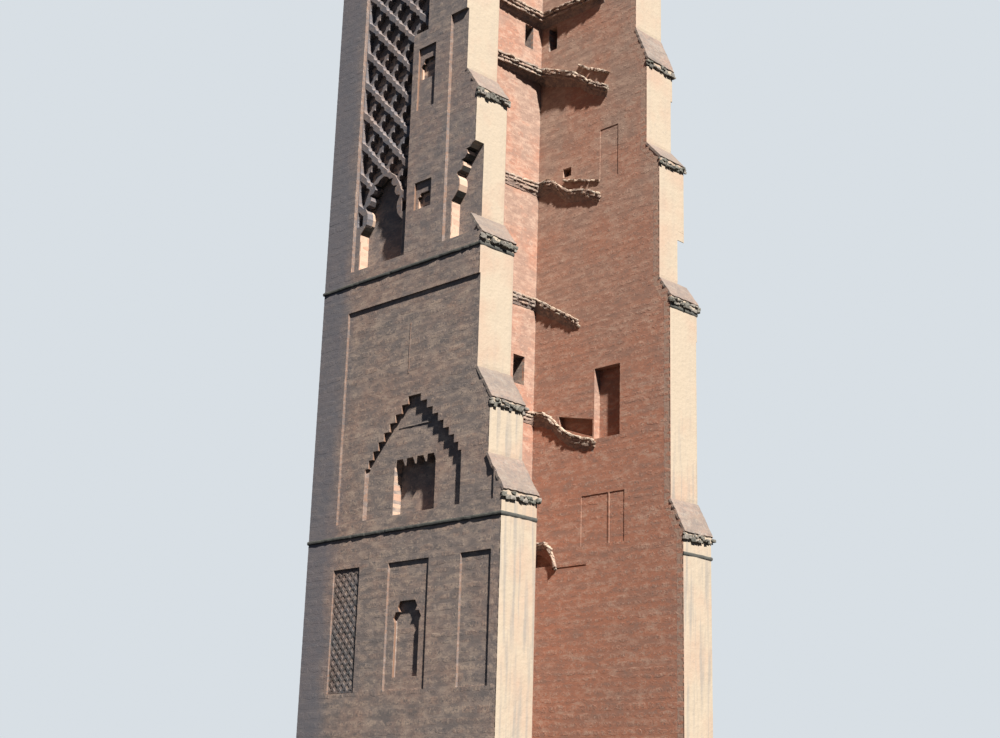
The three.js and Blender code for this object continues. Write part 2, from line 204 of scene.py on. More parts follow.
# Meshes and objects


def placed(name, data):
    """A new object in the scene that holds a mesh, light or camera."""
    new = bpy.data.objects.new(name, data)
    bpy.context.scene.collection.objects.link(new)
    return new


def make_piece(name, parts, finish):
    """A piece that rides on the tower, from a mesh or from (points, faces) parts."""
    mesh = parts if isinstance(parts, bpy.types.Mesh) else mesh_from(*joined(parts))
    mesh.name = name
    mesh.materials.clear()
    mesh.materials.append(finish_named(finish))
    piece = placed(name, mesh)
    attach(piece, BODY)
    return piece


def baked(mesh, modifiers):
    """A copy of a mesh with modifiers applied, given as (type, settings) pairs."""
    holder = placed("holder", mesh)
    for kind, settings in modifiers:
        modifier = holder.modifiers.new(kind.lower(), kind)
        for key, value in settings.items():
            setattr(modifier, key, value)
    graph = bpy.context.evaluated_depsgraph_get()
    result = bpy.data.meshes.new_from_object(holder.evaluated_get(graph), depsgraph=graph)
    bpy.data.objects.remove(holder)
    return result


def boolean(mesh, other, operation):
    """The mesh cut by, or kept inside, another closed mesh."""
    cutter = placed("cutter", other)
    settings = {"operation": operation, "solver": "MANIFOLD", "object": cutter}
    result = baked(mesh, [("BOOLEAN", settings)])
    bpy.data.objects.remove(cutter)
    return result


def mesh_from(verts, faces):
    """A mesh from points and faces."""
    mesh = bpy.data.meshes.new("part")
    mesh.from_pydata([tuple(v) for v in verts], [], [tuple(f) for f in faces])
    return mesh


def arrays(mesh):
    """A mesh's points as rows, and its faces as tuples."""
    points = np.zeros(len(mesh.vertices) * 3)
    mesh.vertices.foreach_get("co", points)
    return points.reshape(-1, 3), [tuple(p.vertices) for p in mesh.polygons]


def joined(parts):
    """Several (points, faces) pairs as one."""
    verts, faces, start = [], [], 0
    for points, polygons in parts:
        verts.append(np.asarray(points, float).reshape(-1, 3))
        faces.extend(tuple(i + start for i in face) for face in polygons)
        start += len(points)
    return np.concatenate(verts), faces


# Flat faces of the frame's walls


class Plane:
    """An upright or level plane: u runs along it, v up it, and w out of it."""

    def __init__(self, normal, offset):
        self.normal = np.array(normal, float)
        up = np.array((0.0, 0.0, 1.0)) if abs(normal[2]) < 0.5 else np.array((0.0, 1.0, 0.0))
        self.up = up
        self.along = np.cross(up, self.normal)
        self.offset = offset

    def flatten(self, points):
        return np.stack([points @ self.along, points @ self.up], axis=1)

    def place(self, u, v, w):
        u, v, w = (np.asarray(a, float)[..., None] for a in (u, v, w))
        return u * self.along + v * self.up + (w + self.offset) * self.normal


# A face looks along an axis when its normal is as good as square on to it
SQUARE_ON = 0.999


def flat_faces(mesh):
    """The flat faces of a mesh that look along an axis, each as its plane, triangles and points."""
    points, polygons = welded(mesh)
    groups = {}
    for face in polygons:
        a, b, c = points[face[0]], points[face[1]], points[face[2]]
        normal = np.cross(b - a, c - a)
        size = np.linalg.norm(normal)
        if size < TINY:
            continue
        normal = np.round(normal / size, 3)
        if np.abs(normal).max() < SQUARE_ON:
            continue
        normal = np.round(normal)
        key = (*normal, round(float(a @ normal), 3))
        groups.setdefault(key, []).append(face)
    for (nx, ny, nz, offset), triangles in sorted(groups.items()):
        yield Plane((nx, ny, nz), offset), triangles, points


def welded(mesh):
    """A mesh's points and faces, with the points that share a place made one."""
    points, polygons = arrays(mesh)
    places, index = np.unique(np.round(points, 4), axis=0, return_inverse=True)
    index = index.reshape(-1)
    return places, [tuple(int(index[i]) for i in face) for face in polygons]


def corners_of(triangles):
    """The points that some triangles use, each once."""
    return sorted({i for face in triangles for i in face})


def boundary(triangles):
    """The directed edges that only one triangle uses."""
    edges = {}
    for face in triangles:
        for i, a in enumerate(face):
            b = face[(i + 1) % len(face)]
            if (b, a) in edges:
                del edges[(b, a)]
            else:
                edges[(a, b)] = True
    return list(edges)


# How far a cutting block stands before a wall's face, and the flattest mitre of its corners
BLOCK_FRONT = 0.2
FLATTEST_MITRE = 0.4


def region_block(plane, triangles, points, back, grow):
    """A closed block over a flat face, grown sideways a little, from behind it to before it."""
    used = corners_of(triangles)
    index = {old: new for new, old in enumerate(used)}
    flat = plane.flatten(points[used])
    faces = [tuple(index[i] for i in face) for face in triangles]
    edges = boundary(faces)
    outward = np.zeros_like(flat)
    sums = np.zeros(len(flat))
    for a, b in edges:
        step = flat[b] - flat[a]
        side = np.array((step[1], -step[0])) / max(np.linalg.norm(step), TINY)
        for i in (a, b):
            outward[i] += side
            sums[i] += 1
    length = np.maximum((outward**2).sum(axis=1), FLATTEST_MITRE)
    flat = flat + outward * (grow * np.where(sums > 0, 2 / length, 0))[:, None]
    count = len(flat)
    top = plane.place(*flat.T, BLOCK_FRONT)
    low = plane.place(*flat.T, -back)
    solid = [*faces, *[tuple(i + count for i in reversed(face)) for face in faces]]
    solid += [(b, a, a + count, b + count) for a, b in edges]
    return mesh_from(np.concatenate([top, low]), solid)


# Coursed stone: ranges, as shares of the mean height, length or reach, that the draws keep to
COURSE_HEIGHTS = (0.82, 1.18)
COURSE_REACHES = (0.55, 1.45)
FIRST_STONES = (0.1, 1.0)
STONE_LENGTHS = (0.6, 1.5)
STONE_REACHES = (0.75, 1.25)

# How a stone wears: its joint's waver, its arrises' reach, the arris's reach at a corner, the tilt
# and unevenness of its face, how far its crown lies off its middle, and the crown's height
JOINT_WAVER = 0.35
ARRIS_REACHES = (0.6, 1.6)
CORNER_REACH = 1.35
FACE_TILT = 0.22
FACE_WAVER = 0.08
CROWN_SHIFTS = (-0.2, 0.2)
CROWN_HEIGHTS = (1.0, 1.5)

# Faces whose mean width is under the first are left bare, and those under the second are reveals
NARROWEST = 0.15
REVEAL_WIDTH = 0.6


def bed_levels(course, rng):
    """Levels of the bed joints, which meet the storeys' string courses."""
    levels = [0.0]
    for low, high in STOREYS.values():
        count = round((high - low) / course)
        heights = rng.uniform(*COURSE_HEIGHTS, count)
        levels.extend(low + np.cumsum(heights) / heights.sum() * (high - low))
    return levels


def lay_courses(u_range, v_range, beds, length, rng):
    """Stones of a coursed wall, as rows of left, right, low, high and the course's own reach."""
    rows = []
    reaches = np.random.default_rng(len(beds)).uniform(*COURSE_REACHES, len(beds))
    for low, high, reach in zip(beds[:-1], beds[1:], reaches):
        if high <= v_range[0] or low >= v_range[1]:
            continue
        left = u_range[0] - length * rng.uniform(*FIRST_STONES)
        while left < u_range[1]:
            right = left + length * rng.uniform(*STONE_LENGTHS)
            rows.append((left, right, low, high, reach))
            left = right
    return np.array(rows)


RING = np.array([(-1, -1), (0, -1), (1, -1), (1, 0), (1, 1), (0, 1), (-1, 1), (-1, 0)], float)


def stone_bodies(plane, rows, proud, bury, joint, arris, rng):
    """Closed worn stones on a plane: a crowned face, worn arrises and a buried back."""
    count = len(rows)
    middle = np.stack([rows[:, 0] + rows[:, 1], rows[:, 2] + rows[:, 3]], axis=1) / 2
    reach = np.stack([rows[:, 1] - rows[:, 0], rows[:, 3] - rows[:, 2]], axis=1) / 2 - joint / 2
    jitter = joint * JOINT_WAVER
    outer = middle[:, None] + RING * reach[:, None] + rng.uniform(-jitter, jitter, (count, 8, 2))
    inset = arris * rng.uniform(*ARRIS_REACHES, (count, 8, 1))
    corner = np.where(np.abs(RING).sum(axis=1) > 1.5, CORNER_REACH, 1.0)[None, :, None]
    inner = outer - RING * inset * corner
    tilt = rng.normal(0, FACE_TILT, (count, 2)) * proud[:, None]
    height = proud[:, None] + (RING[None] * tilt[:, None]).sum(axis=2)
    height = height + rng.normal(0, FACE_WAVER, (count, 8)) * proud[:, None]
    centre = middle + rng.uniform(*CROWN_SHIFTS, (count, 2)) * reach
    crown = proud * rng.uniform(*CROWN_HEIGHTS, count)
    top = plane.place(*centre.T, crown)[:, None]
    edge = plane.place(inner[..., 0], inner[..., 1], height)
    foot = plane.place(outer[..., 0], outer[..., 1], -bury)
    points = np.concatenate([top, edge, foot], axis=1)
    around = range(8)
    pattern = [(0, 1 + i, 1 + (i + 1) % 8) for i in around]
    pattern += [(9 + i, 9 + (i + 1) % 8, 1 + (i + 1) % 8, 1 + i) for i in around]
    pattern.append(tuple(9 + i for i in reversed(around)))
    faces = [tuple(i + 17 * k for i in face) for k in range(count) for face in pattern]
    return points.reshape(-1, 3), faces


def course_plane(plane, triangles, points, style, rng):
    """Stones over one flat face, cut to its outline."""
    flat = plane.flatten(points[corners_of(triangles)])
    low, high = flat.min(axis=0), flat.max(axis=0)
    rows = lay_courses((low[0], high[0]), (low[1], high[1]), style["beds"], style["length"], rng)
    rows = rows[rng.uniform(0, 1, len(rows)) > stonework().missing]
    sizes = stonework()
    proud = sizes.relief * style["relief"] * rows[:, 4] * rng.uniform(*STONE_REACHES, len(rows))
    body = stone_bodies(
        plane, rows, proud, sizes.bury, sizes.joint, sizes.arris * style["wear"], rng
    )
    block = region_block(plane, triangles, points, sizes.bury * 2, 2 * MM)
    return arrays(boolean(mesh_from(*body), block, "INTERSECT"))


def face_area(plane, triangles, points):
    """The area of a flat face."""
    flat = plane.flatten(points)
    total = 0.0
    for a, b, c in triangles:
        total += abs(np.cross(flat[b] - flat[a], flat[c] - flat[a])) / 2
    return total


def is_inside(plane, points, triangles):
    """Whether a flat face belongs to the hollow of the tower."""
    centre = points[corners_of(triangles)].mean(axis=0)
    return abs(centre[0]) < HOLLOW_SIDE and centre[1] < HOLLOW_FRONT


def stone_skins(node, styles, rng):
    """Coursed stone over the flat upright faces of a wall, outer and inner apart."""
    skins = {"outer": [], "inner": [], "reveal": []}
    for plane, triangles, points in flat_faces(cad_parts[node].data):
        if abs(plane.normal[2]) > 0.5:
            continue
        if "_end_" in node and abs(plane.normal[1]) > 0.5:
            continue
        flat = plane.flatten(points[corners_of(triangles)])
        extent = flat.max(axis=0) - flat.min(axis=0)
        area = face_area(plane, triangles, points)
        if extent.min() < stonework().smallest_face or area / extent.max() < NARROWEST:
            continue
        where = "inner" if is_inside(plane, points, triangles) else "outer"
        if where == "outer" and plane.normal[1] < -0.5 and extent[0] < REVEAL_WIDTH:
            where = "reveal"
        style = styles["inner" if where == "inner" else "outer"]
        skins[where].append(course_plane(plane, triangles, points, style, rng))
    return skins


# Materials


def add(tree, kind, inputs=None, **settings):
    """Adds one node, with its settings, and feeds each named input from a value or a socket."""
    node = tree.nodes.new(kind)
    for key, value in settings.items():
        setattr(node, key, value)
    for key, value in (inputs or {}).items():
        if isinstance(value, bpy.types.NodeSocket):
            tree.links.new(value, node.inputs[key])
        else:
            node.inputs[key].default_value = value
    return node


def per_metre(millimetres):
    """A pattern's scale from the real size of one of its features."""
    return 1000 / millimetres


def rgba(colour):
    return (*colour, 1.0)


def new_material(name):
    material = bpy.data.materials.new(name)
    material.use_nodes = True
    tree = material.node_tree
    tree.nodes.clear()
    return material, tree


def on_tower(tree):
    """Where a point lies: X across the tower, Y back from its open side, and Z its level."""
    where = add(tree, "ShaderNodeTexCoord").outputs["Object"]
    return add(tree, "ShaderNodeSeparateXYZ", {0: where}).outputs


def facing(tree):
    """Which way a surface looks, along the tower's own axes."""
    normal = add(tree, "ShaderNodeNewGeometry").outputs["Normal"]
    return add(tree, "ShaderNodeSeparateXYZ", {0: normal}).outputs


def to_either_side(tree, place):
    """How far a point lies, or a surface looks, to the tower's left or right."""
    return add(tree, "ShaderNodeMath", {0: place(tree)["X"]}, operation="ABSOLUTE").outputs[0]


# Patterns of the weather: a patch's size in millimetres, its detail and roughness, and how far it
# is squeezed along X, Y and Z. Flecks, pits and grit are drawn coarser than the real ones, so that
# they show from the ground.
EVEN = (1.0, 1.0, 1.0)
LEVEL_STREAKS = (800, 5.0, 0.65, (0.3, 0.3, 2.6))
WARM_CLOUDS = (2200, 5.0, 0.65, EVEN)
MOTTLE = (280, 5.0, 0.7, (0.6, 0.6, 1.4))
FLECKS = (110, 3.0, 0.65, EVEN)
PITS = (70, 2.0, 0.6, EVEN)
GRIT = (14, 4.0, 0.7, EVEN)
MORTAR_CRUMBS = (40, 3.0, 0.6, EVEN)
RAGGED_EDGE = (1300, 4.0, 0.6, EVEN)
RENDER_BLOTCHES = (1500, 4.0, 0.55, EVEN)
RAIN_RUNS = (900, 3.0, 0.5, (5.0, 5.0, 0.35))
RENDER_CRUMBS = (120, 4.0, 0.6, EVEN)

# Where the weather has worked, and where shade is painted, as levels, distances from the axis and
# directions:
# each pair says where its mark starts and where it is full, or, with FADING, where it thins and
# where it is gone
RAIN_LEVELS = (17.5, 20.5)
RAIN_CORNER = (AXIS_Y + 3.3 + 0.6, AXIS_Y + 3.3 + 0.6 + 0.8)
RAIN_RAGGED = 1.2
RED_LEVELS = (26.0, 15.0)
ON_SIDE_WALL = (0.5, 0.7)
LOOKING_UP = (0.25, 0.8)
LOOKING_DOWN = (-0.2, -0.4)
# Faces that look this far down inside the bays are painted near black, as painted shade.
TO_OPEN_SIDE = (-0.5, -0.7)
BAY_BACK = (HALF - 0.48, HALF - 0.47)
BAY_FRONT = (HALF - 0.13, HALF - 0.12)
BAY_FOOT = (19.1, 19.2)
BAY_HEAD = (27.4, 27.5)
FACE_EDGE = (HALF - 0.14, HALF - 0.13)
RUN_LEVELS = (13.5, 15.5)
RENDER_INSIDE = (INNER_SIDE + 0.01, INNER_SIDE + 0.03)
RENDER_OUTSIDE = (INNER_SIDE + 0.5, INNER_SIDE + 0.55)
FADING = (1.0, 0.0)


def patches(tree, millimetres, detail, rough, squeeze):
    """Cloudy patches of a real size over a piece, as a value about one half."""
    where = add(tree, "ShaderNodeTexCoord").outputs["Object"]
    where = add(tree, "ShaderNodeMapping", {"Vector": where, "Scale": squeeze}).outputs["Vector"]
    inputs = {"Vector": where, "Scale": per_metre(millimetres)}
    inputs |= {"Detail": detail, "Roughness": rough}
    return add(tree, "ShaderNodeTexNoise", inputs).outputs["Fac"]


def coated(tree, base, colour, *limits):
    """A base with a colour laid over it where every value is within its limits.

    A limit holds a value, where the coat starts and where it ends, and may add how thick the coat
    is at both: from none to whole, if it isn't said.
    """
    coat = None
    for value, start, end, *thick in limits:
        at_start, at_end = thick or (0.0, 1.0)
        inputs = {"Value": value, "From Min": start, "From Max": end}
        inputs |= {"To Min": at_start, "To Max": at_end}
        layer = add(tree, "ShaderNodeMapRange", inputs).outputs["Result"]
        if coat is not None:
            both = {0: coat, 1: layer}
            layer = add(tree, "ShaderNodeMath", both, operation="MULTIPLY").outputs[0]
        coat = layer
    inputs = {0: coat, 6: base, 7: colour}
    return add(tree, "ShaderNodeMix", inputs, data_type="RGBA").outputs[2]


def close_stone(tree, colour, height, depth, roughness=0.92):
    """The dull surface that stone and render share: a rough face with its relief."""
    bump = add(tree, "ShaderNodeBump", {"Height": height, "Strength": 1.0, "Distance": depth})
    inputs = {"Base Color": colour, "Roughness": roughness, "Normal": bump.outputs["Normal"]}
    shader = add(tree, "ShaderNodeBsdfPrincipled", inputs)
    shader.inputs["IOR"].default_value = 1.5
    shader.inputs["Specular IOR Level"].default_value = 0.25
    add(tree, "ShaderNodeOutputMaterial", {"Surface": shader.outputs["BSDF"]})


def own_tone(tree, tones, variety):
    """Each stone's own tone between dark, middle, warm and pale, held back towards the middle."""
    dark, middle, pale, warm = tones
    stops = [(0.0, dark), (0.3, middle), (0.62, middle), (0.84, warm), (1.0, pale)]
    own = add(tree, "ShaderNodeNewGeometry").outputs["Random Per Island"]
    ramp = add(tree, "ShaderNodeValToRGB", {"Fac": own})
    elements = ramp.color_ramp.elements
    while len(elements) < len(stops):
        elements.new(0.5)
    for element, (position, colour) in zip(elements, stops):
        element.position = position
        element.color = colour
    inputs = {0: variety, 6: middle, 7: ramp.outputs["Color"]}
    return add(tree, "ShaderNodeMix", inputs, data_type="RGBA").outputs[2]


def weathered(tree, base, tones, strength):
    """Level streaks along the beds, broad warm clouds, and mottling between dark and pale."""
    dark, _, pale, warm = tones
    most = 0.7 * strength
    base = coated(tree, base, dark, (patches(tree, *LEVEL_STREAKS), 0.42, 0.66, 0.0, most))
    base = coated(tree, base, warm, (patches(tree, *WARM_CLOUDS), 0.45, 0.62, 0.0, most))
    mottle = patches(tree, *MOTTLE)
    base = coated(tree, base, pale, (mottle, 0.49, 0.66, 0.0, most))
    return coated(tree, base, dark, (mottle, 0.34, 0.51, 0.8 * strength, 0.0))


def rain_washed(tree, base, grey):
    """The parts that the rain washes, darker and greyer: the upper storeys and one tower corner."""
    place = on_tower(tree)
    base = coated(tree, base, grey, (place["Z"], *RAIN_LEVELS, 0.0, 0.22))
    ragged = {0: patches(tree, *RAGGED_EDGE), 1: RAIN_RAGGED, 2: place["Y"]}
    edge = add(tree, "ShaderNodeMath", ragged, operation="MULTIPLY_ADD").outputs[0]
    return coated(tree, base, grey, (edge, *RAIN_CORNER, 0.0, 0.8))


def reddened(tree, base, red):
    """Sheltered stone that turns redder from the upper storeys down, most on the side walls."""
    low_down = (on_tower(tree)["Z"], *RED_LEVELS)
    side_wall = (to_either_side(tree, facing), *ON_SIDE_WALL, 0.3, 1.0)
    return coated(tree, base, red, low_down, side_wall)


# The limestones. Each holds its material's name, its dark, middle, pale and warm tones, the colour
# of what lies level on it, its relief in millimetres, how far its stones differ, and how strongly
# the weather shows. A comment says what each gives the eye.
LIMESTONES = {
    # Dressed facing in the open: dull grey-brown blocks, streaked along their beds
    "outer": ["weathered_limestone", "patina_dark patina patina_light patina_red"]
    + ["lichen", 7, 0.55, 0.9],
    # The same stone in the hollow, never washed: warm, red towards the foot, and rough
    "inner": ["sheltered_limestone", "inner_dark inner inner_light inner_red"]
    + ["inner_light", 14, 0.5, 0.9],
    # Reveals of the bays, under their arches: clean, pale and nearly even
    "reveal": ["sheltered_reveal_limestone", "inner reveal render inner_red"]
    + ["inner_light", 6, 0.6, 0.6],
    # Chiselled bars of the nets: grey, with browned edges that catch the sun
    "carved": ["carved_limestone", "patina_grey patina_dark patina arris"]
    + ["patina", 8, 0.5, 1.0],
    # The fine lattices low on the walls: the same carving in darker tones, as painted shade of
    # their recess
    "lattice": ["sooty_carved_limestone", "blackened patina_grey patina arris"]
    + ["patina_dark", 8, 0.5, 1.0],
    # Sloping copings: brown and blotched where the rain runs over them
    "coping": ["rain_washed_coping", "patina_dark coping render_stain patina_red"]
    + ["coping", 14, 0.6, 0.9],
    # Broken stones under the copings: black and grey-green with lichen, every stone different
    "eaves": ["lichened_eaves_rubble", "blackened lichen render_stain render_stain"]
    + ["coping", 20, 1.0, 0.5],
    # Moulded string courses: nearly black lines, with lichen on their tops
    "string": ["blackened_string_stone", "blackened blackened lichen blackened"]
    + ["lichen", 8, 0.5, 0.8],
    # Worn upright edges: browner and smoother than the faces that they part
    "arris": ["browned_arris_limestone", "patina_dark arris patina arris"]
    + ["patina", 6, 0.5, 1.0],
    # Rubble cores of the fallen vaults: coarse, dusty and brown-grey
    "rubble": ["broken_vault_rubble", "patina_dark patina inner_light patina_red"]
    + ["inner_light", 20, 0.5, 0.8],
    # Stones along the vaults' broken lips: pale with old limewash, every stone different
    "lip": ["limewashed_broken_stone", "inner_dark render_stain render inner_light"]
    + ["render", 18, 1.0, 0.8],
}


def limestone(key):
    """Dressed limestone, weathered: each stone keeps its own tone, under rain stains and grit."""
    tint = colours()
    name, tones, lying, relief, variety, strength = LIMESTONES[key]
    material, tree = new_material(name)
    tones = [rgba(getattr(tint, tone)) for tone in tones.split()]
    base = own_tone(tree, tones, variety)
    if key == "inner":
        base = reddened(tree, base, tones[3])
    base = weathered(tree, base, tones, strength)
    flecks, pits = patches(tree, *FLECKS), patches(tree, *PITS)
    base = coated(tree, base, tones[2], (flecks, 0.52, 0.68, 0.0, 0.7 * strength))
    # The pits are coloured dark where the same pattern sinks the bump: partly dirt in the pits,
    # partly painted shade in their hollows.
    base = coated(tree, base, tones[0], (pits, 0.34, 0.47, 0.9 * strength, 0.0))
    if key == "outer":
        base = rain_washed(tree, base, rgba(tint.patina_grey))
    up = (facing(tree)["Z"], *LOOKING_UP)
    base = coated(tree, base, rgba(getattr(tint, lying)), up, (flecks, 0.35, 0.55))
    height = add(tree, "ShaderNodeMath", {0: pits, 1: 0.7}, operation="MULTIPLY").outputs[0]
    rough = {0: patches(tree, *GRIT), 1: 0.3, 2: height}
    height = add(tree, "ShaderNodeMath", rough, operation="MULTIPLY_ADD").outputs[0]
    close_stone(tree, base, height, relief * MM)
    return material


def outer_bed(tree, tint):
    """The weathered face of the masonry outside, as it shows between the stones."""
    tones = [rgba(t) for t in (tint.patina_dark, tint.patina, tint.patina_light, tint.patina_red)]
    return rain_washed(tree, weathered(tree, tones[1], tones, 0.8), rgba(tint.patina_grey))


def wall_bed():
    """Lime mortar between the stones: sheltered and warm inside the tower, grey outside."""
    material, tree = new_material("lime_mortar_beds")
    tint = colours()
    place, looks, aside = on_tower(tree), facing(tree), to_either_side(tree, on_tower)
    back = add(tree, "ShaderNodeMath", {0: place["Y"], 1: AXIS_Y}, operation="SUBTRACT")
    farthest = {0: aside, 1: back.outputs[0]}
    farthest = add(tree, "ShaderNodeMath", farthest, operation="MAXIMUM").outputs[0]
    bay = (
        (farthest, *BAY_BACK),
        (farthest, *BAY_FRONT, *FADING),
        (place["Z"], *BAY_FOOT),
        (place["Z"], *BAY_HEAD, *FADING),
    )
    outside = coated(tree, outer_bed(tree, tint), rgba(tint.reveal), *bay)
    # The bays' downward-looking soffits are coated near black: painted shade under the arches.
    outside = coated(tree, outside, rgba(tint.blackened), *bay, (looks["Z"], *LOOKING_DOWN))
    edge = ((aside, *FACE_EDGE), (looks["Y"], *TO_OPEN_SIDE))
    outside = coated(tree, outside, rgba(tint.arris), *edge)
    inner = [rgba(t) for t in (tint.inner_dark, tint.inner, tint.inner_light, tint.inner_red)]
    sheltered = weathered(tree, reddened(tree, inner[1], inner[3]), inner, 0.9)
    hollow = (
        (aside, HOLLOW_SIDE, HOLLOW_SIDE + 0.02, *FADING),
        (place["Y"], HOLLOW_FRONT, HOLLOW_FRONT + 0.02, *FADING),
    )
    base = coated(tree, outside, sheltered, *hollow)
    close_stone(tree, base, patches(tree, *MORTAR_CRUMBS), 5 * MM)
    return material


def lime_render():
    """Lime render floated over repair masonry: a pale, even coat under grey rain streaks."""
    material, tree = new_material("lime_render")
    tint = colours()
    stain = rgba(tint.render_stain)
    blotches = (patches(tree, *RENDER_BLOTCHES), 0.45, 0.68, 0.0, 0.55)
    base = coated(tree, rgba(tint.render), rgba(tint.render_warm), blotches)
    low_down = (on_tower(tree)["Z"], *RUN_LEVELS, 0.8, 0.12)
    base = coated(tree, base, stain, (patches(tree, *RAIN_RUNS), 0.48, 0.66), low_down)
    crumbs = patches(tree, *RENDER_CRUMBS)
    base = coated(tree, base, stain, (crumbs, 0.6, 0.72, 0.0, 0.4))
    aside = to_either_side(tree, on_tower)
    base = coated(tree, base, rgba(tint.inner), (aside, *RENDER_INSIDE, *FADING))
    outer_face = ((aside, *RENDER_OUTSIDE), (to_either_side(tree, facing), *ON_SIDE_WALL))
    base = coated(tree, base, outer_bed(tree, tint), *outer_face)
    close_stone(tree, base, crumbs, 12 * MM, 0.88)
    return material


OTHER_FINISHES = {"bed": wall_bed, "render": lime_render}
FINISHES = {}


def finish_named(key):
    """A material, made when it is first asked for."""
    if key not in FINISHES:
        FINISHES[key] = OTHER_FINISHES[key]() if key in OTHER_FINISHES else limestone(key)
    return FINISHES[key]


# Rough bodies


# Lumps carry finer ones, this many times smaller and of this share of their reach
FINER = 2.1
FINE_SHARE = 0.5


def wobble(points, size, reach):
    """Moves of points by noise whose lumps are of a real size."""
    out = np.zeros_like(points)
    for i, point in enumerate(points):
        at = Vector(point) / size
        out[i] = noise.noise_vector(at) + FINE_SHARE * noise.noise_vector(at * FINER)
    return out * reach


def roughened(mesh, voxel, lumps):
    """A mesh rebuilt in even small faces and broken up by noise of several sizes."""
    settings = {"mode": "VOXEL", "voxel_size": voxel, "use_smooth_shade": False}
    fine = baked(mesh, [("REMESH", settings)])
    points, faces = arrays(fine)
    for size, reach in lumps:
        points = points + wobble(points, size, reach)
    return points, faces


def outward(points, faces):
    """The same closed bodies with every face turned outward."""
    mesh = mesh_from(points, faces)
    work = bmesh.new()
    work.from_mesh(mesh)
    bmesh.ops.recalc_face_normals(work, faces=work.faces)
    work.to_mesh(mesh)
    work.free()
    return arrays(mesh)


CORNERS = np.array([(x, y, z) for x in (-1, 1) for y in (-1, 1) for z in (-1, 1)], float)
SIDE_CENTRES = np.concatenate([np.eye(3), -np.eye(3)])[[0, 3, 1, 4, 2, 5]]
SIDE_LOOPS = ((4, 6, 7, 5), (0, 1, 3, 2), (2, 3, 7, 6), (0, 4, 5, 1), (1, 5, 7, 3), (0, 2, 6, 4))

# A broken stone's corners and sides, as shares of its half size, and how far a side shifts
KNOCKED_CORNERS = (0.55, 0.98)
ROUGH_SIDES = (0.85, 1.12)
SIDE_SHIFTS = (-0.2, 0.2)

# A row of them: their lengths, how far each laps the next, and how far their sizes swell
ROW_LENGTHS = (0.5, 1.6)
ROW_LAP = 1.12
ROW_SWELL = 1.4


def broken_stones(centres, axes, sizes, rng):
    """Closed broken stones, each a block with knocked-off corners and uneven sides.

    axes holds one row of three unit vectors, and sizes each stone's extent along them.
    """
    centres, sizes = np.asarray(centres, float), np.asarray(sizes, float)
    count = len(centres)
    corners = CORNERS * rng.uniform(*KNOCKED_CORNERS, (count, 8, 3))
    sides = SIDE_CENTRES * rng.uniform(*ROUGH_SIDES, (count, 6, 1))
    sides = sides + rng.uniform(*SIDE_SHIFTS, (count, 6, 3))
    local = np.concatenate([corners, sides], axis=1) * sizes[:, None] / 2
    points = centres[:, None] + local @ np.asarray(axes, float)
    pattern = []
    for side, loop in enumerate(SIDE_LOOPS):
        pattern += [(8 + side, loop[k], loop[(k + 1) % 4]) for k in range(4)]
    faces = [tuple(i + 14 * n for i in face) for n in range(count) for face in pattern]
    return outward(points.reshape(-1, 3), faces)


def stone_row(start, end, out, size, rng, scatter):
    """Broken stones in a ragged row; size is a stone's length along it, reach and height."""
    start, end, out = (np.asarray(v, float) for v in (start, end, out))
    run = np.linalg.norm(end - start)
    along = (end - start) / run
    up = np.cross(out, along)
    places, sizes = [], []
    at = 0.0
    while at < run:
        length = size[0] * rng.uniform(*ROW_LENGTHS)
        swell = 1 + ROW_SWELL * scatter * rng.uniform(-1, 1, 2)
        shift = out * size[1] * rng.uniform(-scatter, scatter)
        shift = shift + up * size[2] * rng.uniform(-scatter, scatter)
        places.append(start + along * min(at + length / 2, run) + shift)
        sizes.append((length * ROW_LAP, size[1] * swell[0], size[2] * swell[1]))
        at += length
    return broken_stones(places, (along, out, up), sizes, rng)


# A coat's lumps, as size and share of its thickness, its thickness at the rim, and how far it
# reaches back into what it covers
COAT_LUMPS = ((0.8, 0.45), (0.22, 0.25))
RIM_THICKNESS = 0.45
COAT_BURY = 1.9


def sheet(corner, side, rise, normal, step, thick, ragged, rng):
    """A closed uneven coat over a parallelogram, with ragged edges."""
    corner, side, rise, normal = (np.asarray(v, float) for v in (corner, side, rise, normal))
    nu = max(2, round(np.linalg.norm(side) / step))
    nv = max(2, round(np.linalg.norm(rise) / step))
    unit_side, unit_rise = side / np.linalg.norm(side), rise / np.linalg.norm(rise)
    points = []
    for j in range(nv + 1):
        for i in range(nu + 1):
            point = corner + side * i / nu + rise * j / nv
            point = point + unit_side * rng.uniform(-ragged, ragged) * (i in (0, nu))
            point = point + unit_rise * rng.uniform(-ragged, ragged) * (j in (0, nv))
            lump = 1.0
            for size, share in COAT_LUMPS:
                lump += share * noise.noise(Vector(point) / size)
            edge = RIM_THICKNESS if i in (0, nu) or j in (0, nv) else 1.0
            points.append(point + normal * thick * lump * edge)
    front = len(points)
    points += [p - normal * (thick * COAT_BURY) for p in points]
    row = nu + 1
    faces = []
    for j in range(nv):
        for i in range(nu):
            a = j * row + i
            faces.append((a, a + 1, a + row + 1, a + row))
            faces.append((a + front, a + row + front, a + row + 1 + front, a + 1 + front))
    rim = [i for i in range(nu)] + [nu + j * row for j in range(nv)]
    rim += [nv * row + i for i in range(nu, 0, -1)] + [j * row for j in range(nv, 0, -1)]
    faces += [(a, b, b + front, a + front) for a, b in zip(rim, rim[1:] + rim[:1])]
    return outward(np.array(points), faces)


